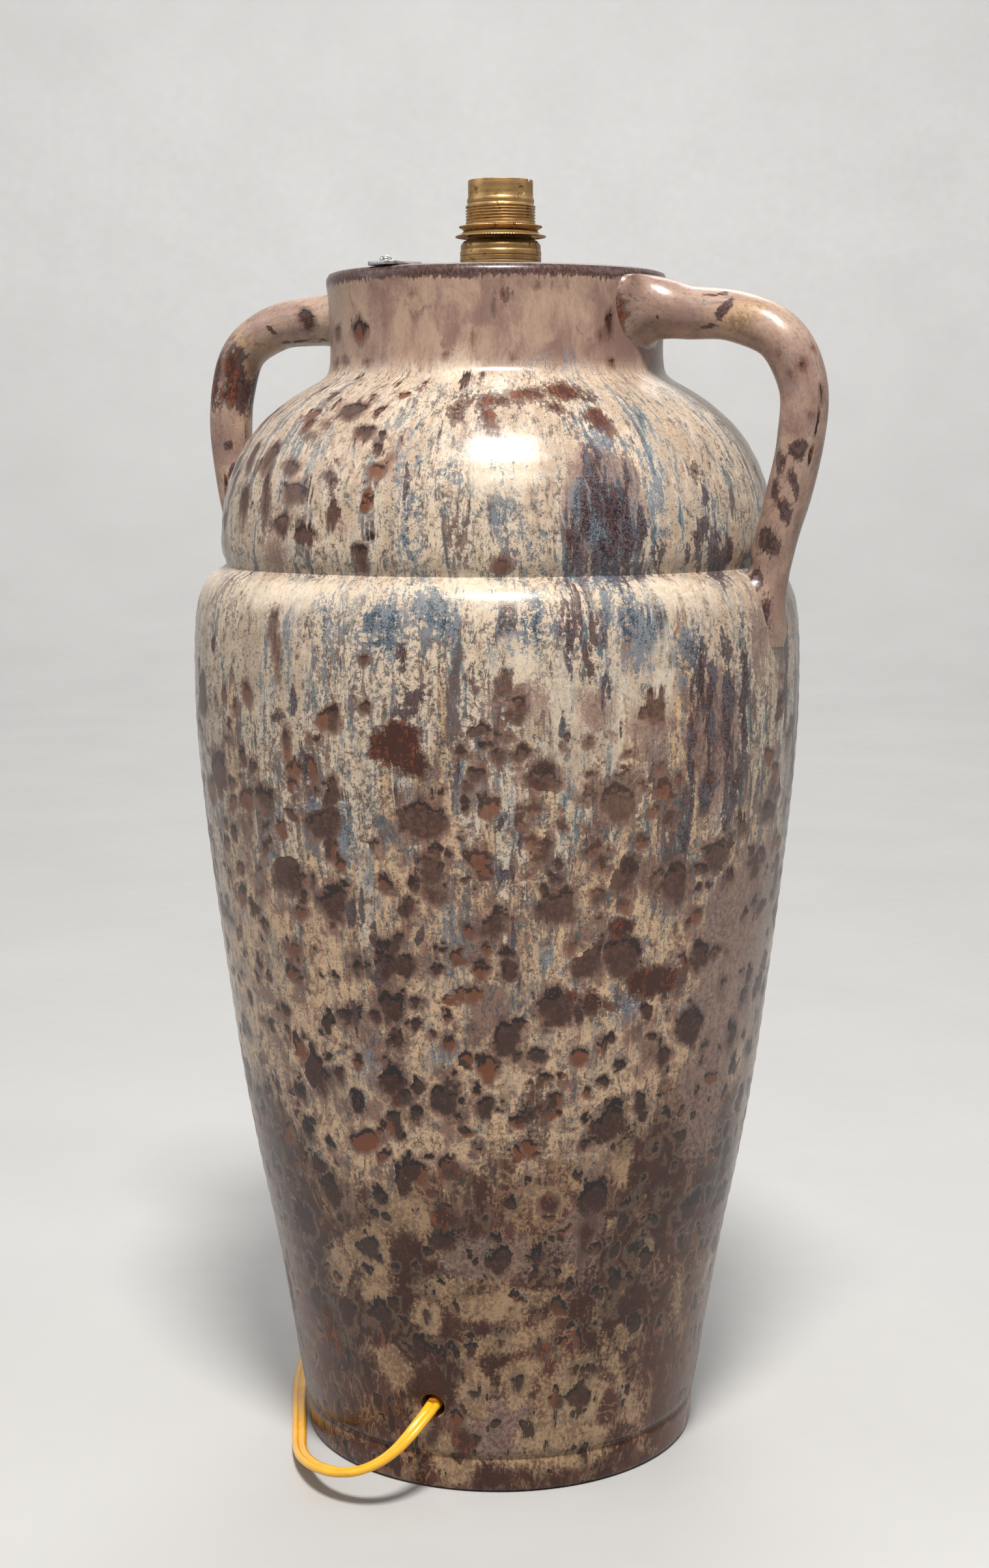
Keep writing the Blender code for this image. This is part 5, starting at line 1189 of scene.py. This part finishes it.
barrel_bm = lathe("barrel", prof, 128, shape=threaded)
SLOT_AZ = 5.6
cutters = []
for az in (SLOT_AZ, SLOT_AZ + 180):
    c = Vector((HOLD_X, HOLD_Y, 494.9)) + polar(az, 12.0)
    cutters.append(block(c, (5.0, 2 * 12.4 * math.sin(math.radians(8.6)), 4.4), az))
    sweep = bmesh.new()          # the bayonet groove on the inside: down, round, and a little up
    grid = {}
    cols, rws = [-31, -25, -19, -13, -7, 0, 7], [485.6, 488.4, 490.4, 497.0]
    filled = {(i, 0) for i in range(6)} | {(4, 1), (5, 1), (4, 2), (5, 2), (0, 1)}

    def gv(i, j, k):
        if (i, j, k) not in grid:
            q = Vector((HOLD_X, HOLD_Y, rws[j])) + polar(az + cols[i], (10.2, 11.9)[k])
            grid[i, j, k] = sweep.verts.new(q * MM)
        return grid[i, j, k]
    for i, j in filled:
        sweep.faces.new((gv(i, j, 0), gv(i + 1, j, 0), gv(i + 1, j + 1, 0), gv(i, j + 1, 0)))
        sweep.faces.new((gv(i, j, 1), gv(i, j + 1, 1), gv(i + 1, j + 1, 1), gv(i + 1, j, 1)))
        for (di, dj), (p, q) in {(-1, 0): ((i, j), (i, j + 1)), (1, 0): ((i + 1, j + 1), (i + 1, j)), (0, -1): ((i + 1, j), (i, j)), (0, 1): ((i, j + 1), (i + 1, j + 1))}.items():
            if (i + di, j + dj) not in filled:
                sweep.faces.new((gv(*p, 0), gv(*q, 0), gv(*q, 1), gv(*p, 1)))
    cutters.append(sweep)
dim = Vector((HOLD_X, HOLD_Y, 489.0)) + polar(-22.0, 13.6)
cutters.append(turned(dim, -polar(-22.0, 1.0), [(0, 2.3), (0.95, 2.2), (1.35, 1.6), (1.5, 0.0)], 28))
barrel = put(carve(barrel_bm, cutters), "bayonet_barrel", OLD_BRASS, "lamp", 28)
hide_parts("holder_barrel")

up = [(474.95, 13.75), (474.95, 14.3), (475.15, 14.45), (475.45, 14.7), (475.9, 15.35), (476.1, 15.85), (476.25, 15.95), (476.42, 15.95), (476.6, 15.85), (476.65, 15.55), (476.65, 14.2), (476.5, 13.95), (476.3, 13.75)]


def milled(i, a, z, r):
    return (z, r - 0.16 * (0.5 + 0.5 * math.cos(a * 110))) if 5 <= i <= 8 else (z, r)


ring_up = put(lathe("ru", up, 440, shape=milled), "ring_upper", OLD_BRASS, "upper_shade_ring", 32)
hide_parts("shade_ring_upper")
low_p = [(473.5, 13.75), (474.6, 13.75), (474.6, 14.2), (474.45, 14.45), (473.95, 14.95), (473.5, 15.9), (473.1, 16.9), (472.9, 17.3), (472.68, 17.4), (472.5, 17.35), (472.45, 17.1), (472.7, 16.2), (472.95, 15.4), (473.3, 14.4), (473.4, 14.0)]


def serrated(i, a, z, r):
    return (z, r - 0.14 * (0.5 + 0.5 * math.cos(a * 96))) if 6 <= i <= 10 else (z, r)


ring_low = put(lathe("rl", low_p, 384, shape=serrated), "ring_lower", OLD_BRASS, "lower_shade_ring", 32)
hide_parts("shade_ring_lower")

union = [(460.6, 14.65), (460.6, 15.4), (460.8, 15.6), (463.0, 15.6), (463.15, 15.46), (463.4, 15.46), (463.55, 15.6), (464.9, 15.6), (465.05, 15.42), (465.35, 15.42), (465.5, 15.58), (466.9, 15.6), (467.1, 15.52), (467.4, 15.38), (467.7, 15.3),
         (468.0, 15.36), (469.2, 15.35), (469.6, 15.2), (469.9, 15.0), (470.5, 14.5), (471.0, 14.1), (471.0, 13.8), (470.85, 13.75), (468.3, 13.75), (468.3, 14.65)]
uni = put(lathe("un", union, 128), "union_ring", OLD_BRASS, "lamp", 28)
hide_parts("holder_union_ring")
cap_p = [(447.0, 5.3), (447.0, 7.5), (447.15, 7.9), (447.5, 8.2), (451.6, 8.2), (452.4, 8.5), (453.2, 9.9), (454.6, 12.1), (456.6, 14.4), (457.8, 15.3), (458.4, 15.6), (460.3, 15.6), (460.3, 14.3), (466.7, 14.3), (466.7, 13.3), (459.3, 13.3), (459.3, 12.2), (457.6, 12.2),
         (455.2, 10.4), (452.6, 6.6), (452.2, 5.3)]
cap = put(carve(lathe("cap", cap_p, 96), [turned((HOLD_X, HOLD_Y - 4.0, 449.7), (0, -1, 0), [(0, 1.8), (6.0, 1.8)], 24)]), "holder_cap_turned", OLD_BRASS, "lamp", 28)
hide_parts("holder_cap")

place_u = polar(70.0, 1.0)
ins = [(457.6, 0.0), (457.6, 11.5), (457.8, 11.7), (459.6, 11.9), (459.6, 13.0), (463.5, 13.0), (463.5, 11.0), (471.2, 11.0), (471.5, 10.85), (471.8, 10.4), (471.8, 3.0), (471.6, 2.6), (471.6, 0.0)]
cuts = []
for s in (1, -1):
    c = Vector((HOLD_X, HOLD_Y, 0)) + place_u * (5.3 * s)
    cuts.append(turned(c + Vector((0, 0, 455.0)), (0, 0, 1), [(0, 2.65), (15.0, 2.65)], 32))
    cuts.append(turned(c + Vector((0, 0, 469.0)), (0, 0, 1), [(0, 1.95), (5.0, 1.95)], 32))
insert = put(carve(lathe("ins", ins, 96), cuts), "insulating_insert", INSUL, "lamp", 28)
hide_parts("holder_insert")
for side, s, body in (("right", 1, "contact_right"), ("left", -1, "contact_left")):
    c = Vector((HOLD_X, HOLD_Y, 0)) + place_u * (5.3 * s)
    o = put(turned(c + Vector((0, 0, 467.2)), (0, 0, 1), [(0, 2.1), (0.15, 2.3), (2.25, 2.3), (2.4, 2.15), (2.6, 1.6), (8.2, 1.6), (8.6, 1.5), (9.0, 1.2), (9.22, 0.7), (9.3, 0.0)], 40),
            "plunger_" + side, BRASS, body, 32)
    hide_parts("contact_plunger_" + side)
    # the spring under it, its end coils wound closer
    base, tip, wire, turns_, step_ = 461.98, 466.90, 0.25, 5, 30
    rows = []
    for i in range(turns_ * step_ + 1):
        f = i / (turns_ * step_)
        a = 2 * math.pi * i / step_
        u = Vector((math.cos(a), math.sin(a), 0))
        middle = Vector((c.x, c.y, base + (tip - base) * (0.6 * f + 0.4 * smooth(f)))) + u * 1.75
        rows.append([middle + (u * math.cos(2 * math.pi * k / 10) + Vector((0, 0, math.sin(2 * math.pi * k / 10)))) * wire for k in range(10)])
    o = put(skin(rows), "contact_spring_" + side, SPRING, "lamp", 60)
    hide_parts("plunger_spring_" + side)
    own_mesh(o)

# screws that hold the crossbar
STRAP_AZ, STRAP_SHIFT = -104.0, 0.0
sd = polar(STRAP_AZ, 1.0)
STRAP_SHIFT = -(Vector((HOLD_X, HOLD_Y, 0)).dot(sd))
for side, s in (("front", 1), ("back", -1)):
    c = Vector((HOLD_X, HOLD_Y, 0)) + sd * (60.5 * s + STRAP_SHIFT)
    z0 = 458.8 + 0.3 + 1.4 + 0.3 - 16.0
    st = [(0, 0.0), (0.3, 0.35), (1.6, 1.0)]
    for k in range(26):
        st += [(1.8 + k * 0.5, 1.15), (2.02 + k * 0.5, 0.86)]
    st += [(15.0, 1.15), (15.98, 1.15), (16.0, 2.2), (16.1, 2.25), (16.45, 2.25), (16.9, 2.12), (17.3, 1.82), (17.65, 1.3), (17.85, 0.7), (17.9, 0.0)]
    b = carve(turned(c + Vector((0, 0, z0)), (0, 0, 1), st, 36), [block(c + Vector((0, 0, z0 + 17.9)), (6.0, 0.6, 1.8), STRAP_AZ + 38 * s)])
    o = put(b, "bar_screw_" + side, SCREW, "lamp", 30)
    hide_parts("crossbar_screw_" + side)

# threaded nipple
nip = [(436.8, 3.5), (436.8, 4.5), (437.1, 4.9)]
zz = 437.3
while zz < 451.2:
    nip.append((zz, 5.0))
    zz += 0.2
nip += [(451.5, 4.95), (451.9, 4.6), (451.9, 3.5)]


def nip_thread(i, a, z, r):
    if 3 <= i < len(nip) - 3:
        f = (z / 1.0 - a / (2 * math.pi)) % 1.0
        return z, r - 0.34 * (1 - abs(2 * f - 1)) * smooth((z - 437.2) / 0.6) * smooth((451.2 - z) / 0.6)
    return z, r


o = put(lathe("nip", nip, 64, shape=nip_thread), "nipple_threaded", BRASS, "lamp", 25)
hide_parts("nipple")

# ---------------------------------------------------------------- plug
plug_turn = 200.0 + BACK_TURN
pc = to_back((4.0, 199.0, 6.95))
px_, py_ = polar(plug_turn, 1.0), polar(plug_turn + 90, 1.0)


def plug_pt(x, y, z):
    return pc + px_ * x + py_ * y + Vector((0, 0, z))


def section(x, wide, high, power, count=56):
    out = []
    for k in range(count):
        a = 2 * math.pi * k / count
        cs, sn = math.cos(a), math.sin(a)
        out.append(plug_pt(x, wide / 2 * math.copysign(abs(cs) ** (2 / power), cs), high / 2 * math.copysign(abs(sn) ** (2 / power), sn)))
    return out


stations = []
boot = [(0.0, 6.8, 5.6, 2.2), (0.4, 7.3, 6.0, 2.2)]
for k in range(7):            # the boot's ribs
    x = 1.6 + k * 2.55
    w, h = 7.6 + 0.30 * k, 6.2 + 0.38 * k
    boot += [(x, w, h, 2.2), (x + 0.25, w - 1.1, h - 1.0, 2.2), (x + 1.0, w - 1.1, h - 1.0, 2.2), (x + 1.25, w + 0.1, h + 0.1, 2.2)]
body = [(19.9, 9.6, 8.6, 2.4), (21.2, 10.4, 9.4, 2.5), (23.0, 13.0, 11.2, 2.8), (25.5, 16.4, 12.4, 2.9), (29.0, 20.4, 13.0, 3.0)]
for k in range(5):            # finger grooves across the grip
    x = 31.2 + k * 2.3
    w = 22.4 + (x - 31.2) * 0.80
    body += [(x, w, 13.3, 3.1), (x + 0.35, w - 0.5, 12.5, 3.1), (x + 0.95, w + 0.1, 12.5, 3.1), (x + 1.3, w + 0.8, 13.4, 3.1)]
body += [(44.0, 32.6, 13.7, 3.2), (47.5, 34.6, 13.7, 3.2), (51.0, 35.3, 13.7, 3.2), (55.6, 35.3, 13.7, 3.2), (56.3, 35.1, 13.4, 3.2), (56.8, 34.5, 12.9, 3.2), (57.0, 33.6, 12.2, 3.2)]
plug = put(skin([section(*s) for s in boot + body]), "plug_moulding", PLUG_M, "lamp", 40)
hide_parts("plug_body")
for side, s in (("left", 1), ("right", -1)):
    o = put(turned(plug_pt(57.3, s * 9.3, 0), px_, [(0, 1.85), (0.05, 1.9), (9.8, 1.9), (9.95, 2.0), (17.2, 2.0), (17.8, 1.9), (18.4, 1.6), (18.8, 1.1), (19.0, 0.0)], 40), "pin_" + side, BRASS, "lamp", 30)
    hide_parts("plug_pin_" + side)

# ---------------------------------------------------------------- tie round the coil
mid_r, mid_z, tie_rows = 29.9, 6.55, []
ring_out = rounded(12.9 + 0.5, 12.9 + 0.2, 2.6, 6)
ring_in = rounded(12.9 - 0.5, 12.9 - 0.8, 2.1, 6)
for outline, w in ((ring_out, -2.3), (ring_out, 2.3), (ring_in, 2.3), (ring_in, -2.3)):
    tie_rows.append([to_back((COIL_AT[0] + w, COIL_AT[1] - mid_r - u, mid_z + v)) for u, v in outline])
tie_bm = skin(tie_rows, wrap=True)
tie = put(tie_bm, "tie_band", TIE_M, "lamp", 35)
tb = tie.modifiers.new("edge", "BEVEL")
tb.width, tb.segments, tb.limit_method, tb.angle_limit = 0.00012, 2, "ANGLE", math.radians(50)
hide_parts("coil_tie")

# ---------------------------------------------------------------- what stays as the CAD has it, with better finishes
FINISH = {
    "crossbar": STEEL, "wall_plug_front": FIBRE, "wall_plug_back": FIBRE, "nipple_washer": STEEL, "nipple_nut": STEEL, "cap_grub_screw": SCREW,
    "terminal_left": BRASS, "terminal_right": BRASS, "terminal_screw_left": SCREW, "terminal_screw_right": SCREW,
    "flex_inside": FLEX, "switch_base": IVORY, "switch_cover": IVORY, "switch_case_screw_a": SCREW, "switch_case_screw_b": SCREW, "switch_rocker": BROWN, "rocker_contact": BRASS,
    "rocker_pin": SCREW, "switch_contact_in": BRASS, "switch_contact_out": BRASS, "switch_terminal_screw_in": SCREW, "switch_terminal_screw_out": SCREW,
}
EDGES = {"crossbar": 0.00030, "nipple_washer": 0.00012, "nipple_nut": 0.00030, "switch_base": 0.00045, "switch_cover": 0.0006, "switch_rocker": 0.00035}
def node_group(name):
    g = bpy.data.node_groups.new(name, "GeometryNodeTree")
    g.interface.new_socket("Geometry", in_out="INPUT", socket_type="NodeSocketGeometry")
    g.interface.new_socket("Geometry", in_out="OUTPUT", socket_type="NodeSocketGeometry")
    return g, g.nodes.new("NodeGroupInput"), g.nodes.new("NodeGroupOutput")


# the faces' stored directions go, so that the edges can be rounded
plain, p_in, p_out = node_group("plain_shading")
drop = plain.nodes.new("GeometryNodeRemoveAttribute")
drop.inputs["Name"].default_value = "custom_normal"
plain.links.new(p_in.outputs[0], drop.inputs[0])
plain.links.new(drop.outputs[0], p_out.inputs[0])
# faces that meet at a small angle are shaded as one
rounding, g_in, g_out = node_group("rounded_shading")
gn, gl = rounding.nodes, rounding.links.new
all_smooth, some_sharp = gn.new("GeometryNodeSetShadeSmooth"), gn.new("GeometryNodeSetShadeSmooth")
all_smooth.domain, some_sharp.domain = "FACE", "EDGE"
all_edges = gn.new("GeometryNodeSetShadeSmooth")
all_edges.domain = "EDGE"
some_sharp.inputs["Shade Smooth"].default_value = False
bend, steep = gn.new("GeometryNodeInputMeshEdgeAngle"), gn.new("FunctionNodeCompare")
steep.data_type, steep.operation = "FLOAT", "GREATER_THAN"
steep.inputs[1].default_value = math.radians(40)
gl(g_in.outputs[0], all_smooth.inputs["Geometry"])
gl(all_smooth.outputs[0], all_edges.inputs["Geometry"])
gl(all_edges.outputs[0], some_sharp.inputs["Geometry"])
gl(bend.outputs["Unsigned Angle"], steep.inputs[0])
gl(steep.outputs[0], some_sharp.inputs["Selection"])
gl(some_sharp.outputs[0], g_out.inputs[0])

for name, mat in FINISH.items():
    o = NODES[name]
    for s in o.material_slots:
        s.material = mat
    w = o.modifiers.new("weld", "WELD")
    w.merge_threshold = 0.00001
    o.modifiers.new("plain_shading", "NODES").node_group = plain
    if name in EDGES:
        b = o.modifiers.new("edge", "BEVEL")
        b.width, b.segments, b.limit_method, b.angle_limit = EDGES[name], 3, "ANGLE", math.radians(38)
        b.use_clamp_overlap = True
    o.modifiers.new("rounded_shading", "NODES").node_group = rounding

# ---------------------------------------------------------------- floor, light
fl = Mat("pale_floor")
p = fl.coord()
fl.into(fl.bsdf.inputs["Base Color"], fl.ramp(fl.noise(p, 6, 3, 0.5), [(0.3, (0.42, 0.416, 0.408)), (0.7, (0.445, 0.441, 0.433))]))
fl.into(fl.bsdf.inputs["Roughness"], fl.rng(fl.noise(p, 60, 2, 0.5), 0.3, 0.7, 0.55, 0.65))
fbm = bmesh.new()
bowl = [(0.0, 0.0), (1.2, 0.0), (2.6, 0.0)] + [(2.6 + 1.6 * math.sin(math.radians(t)), 1.6 - 1.6 * math.cos(math.radians(t))) for t in range(6, 91, 6)] + [(4.2, 2.6)]
rings_ = []
for r_, z_ in bowl:
    rings_.append([fbm.verts.new((0, 0, z_))] if r_ == 0 else [fbm.verts.new((r_ * math.cos(2 * math.pi * k / 96), r_ * math.sin(2 * math.pi * k / 96), z_)) for k in range(96)])
for p_, q_ in zip(rings_[:-1], rings_[1:]):
    for k in range(96):
        k2 = (k + 1) % 96
        fbm.faces.new((p_[0], q_[k], q_[k2]) if len(p_) == 1 else (p_[k], q_[k], q_[k2], p_[k2]))
for f_ in fbm.faces:
    f_.smooth = True
fme = bpy.data.meshes.new("floor")
fbm.to_mesh(fme)
fbm.free()
fme.materials.append(fl.m)
floor = bpy.data.objects.new("floor", fme)
scene.collection.objects.link(floor)


def area_light(name, az, el, dist, size, power, colour=(1, 1, 1), target=(0, 0, 0.27)):
    d = bpy.data.lights.new(name, "AREA")
    d.shape = "DISK"
    d.size = size
    d.energy = power
    d.color = colour
    o = bpy.data.objects.new(name, d)
    scene.collection.objects.link(o)
    a, e = math.radians(az), math.radians(el)
    v = Vector((math.cos(e) * math.cos(a), math.cos(e) * math.sin(a), math.sin(e)))
    o.location = Vector(target) + v * dist
    o.rotation_mode = "QUATERNION"
    o.rotation_quaternion = v.to_track_quat("Z", "Y")
    return o


area_light("key", -58.0, 62.0, 1.9, 0.42, 58.0, (1.0, 0.975, 0.94))
area_light("fill_left", -150.0, 28.0, 2.4, 1.6, 9.0, (0.98, 0.99, 1.0))
area_light("fill_right", 25.0, 30.0, 2.4, 1.4, 4.5, (0.97, 0.98, 1.0))
area_light("rear", 110.0, 45.0, 2.6, 1.5, 10.0)
area_light("wall_wash", -61.0, 58.0, 2.7, 2.4, 88.0, (1.0, 1.0, 1.0), tuple(polar(119.0, 4.2, 0.9)))
world = bpy.data.worlds.new("room")
scene.world = world
world.use_nodes = True
bg = world.node_tree.nodes["Background"]
bg.inputs[0].default_value = (0.85, 0.845, 0.835, 1.0)
bg.inputs[1].default_value = 0.52
scene.view_settings.view_transform = "Standard"
scene.view_settings.look = "None"
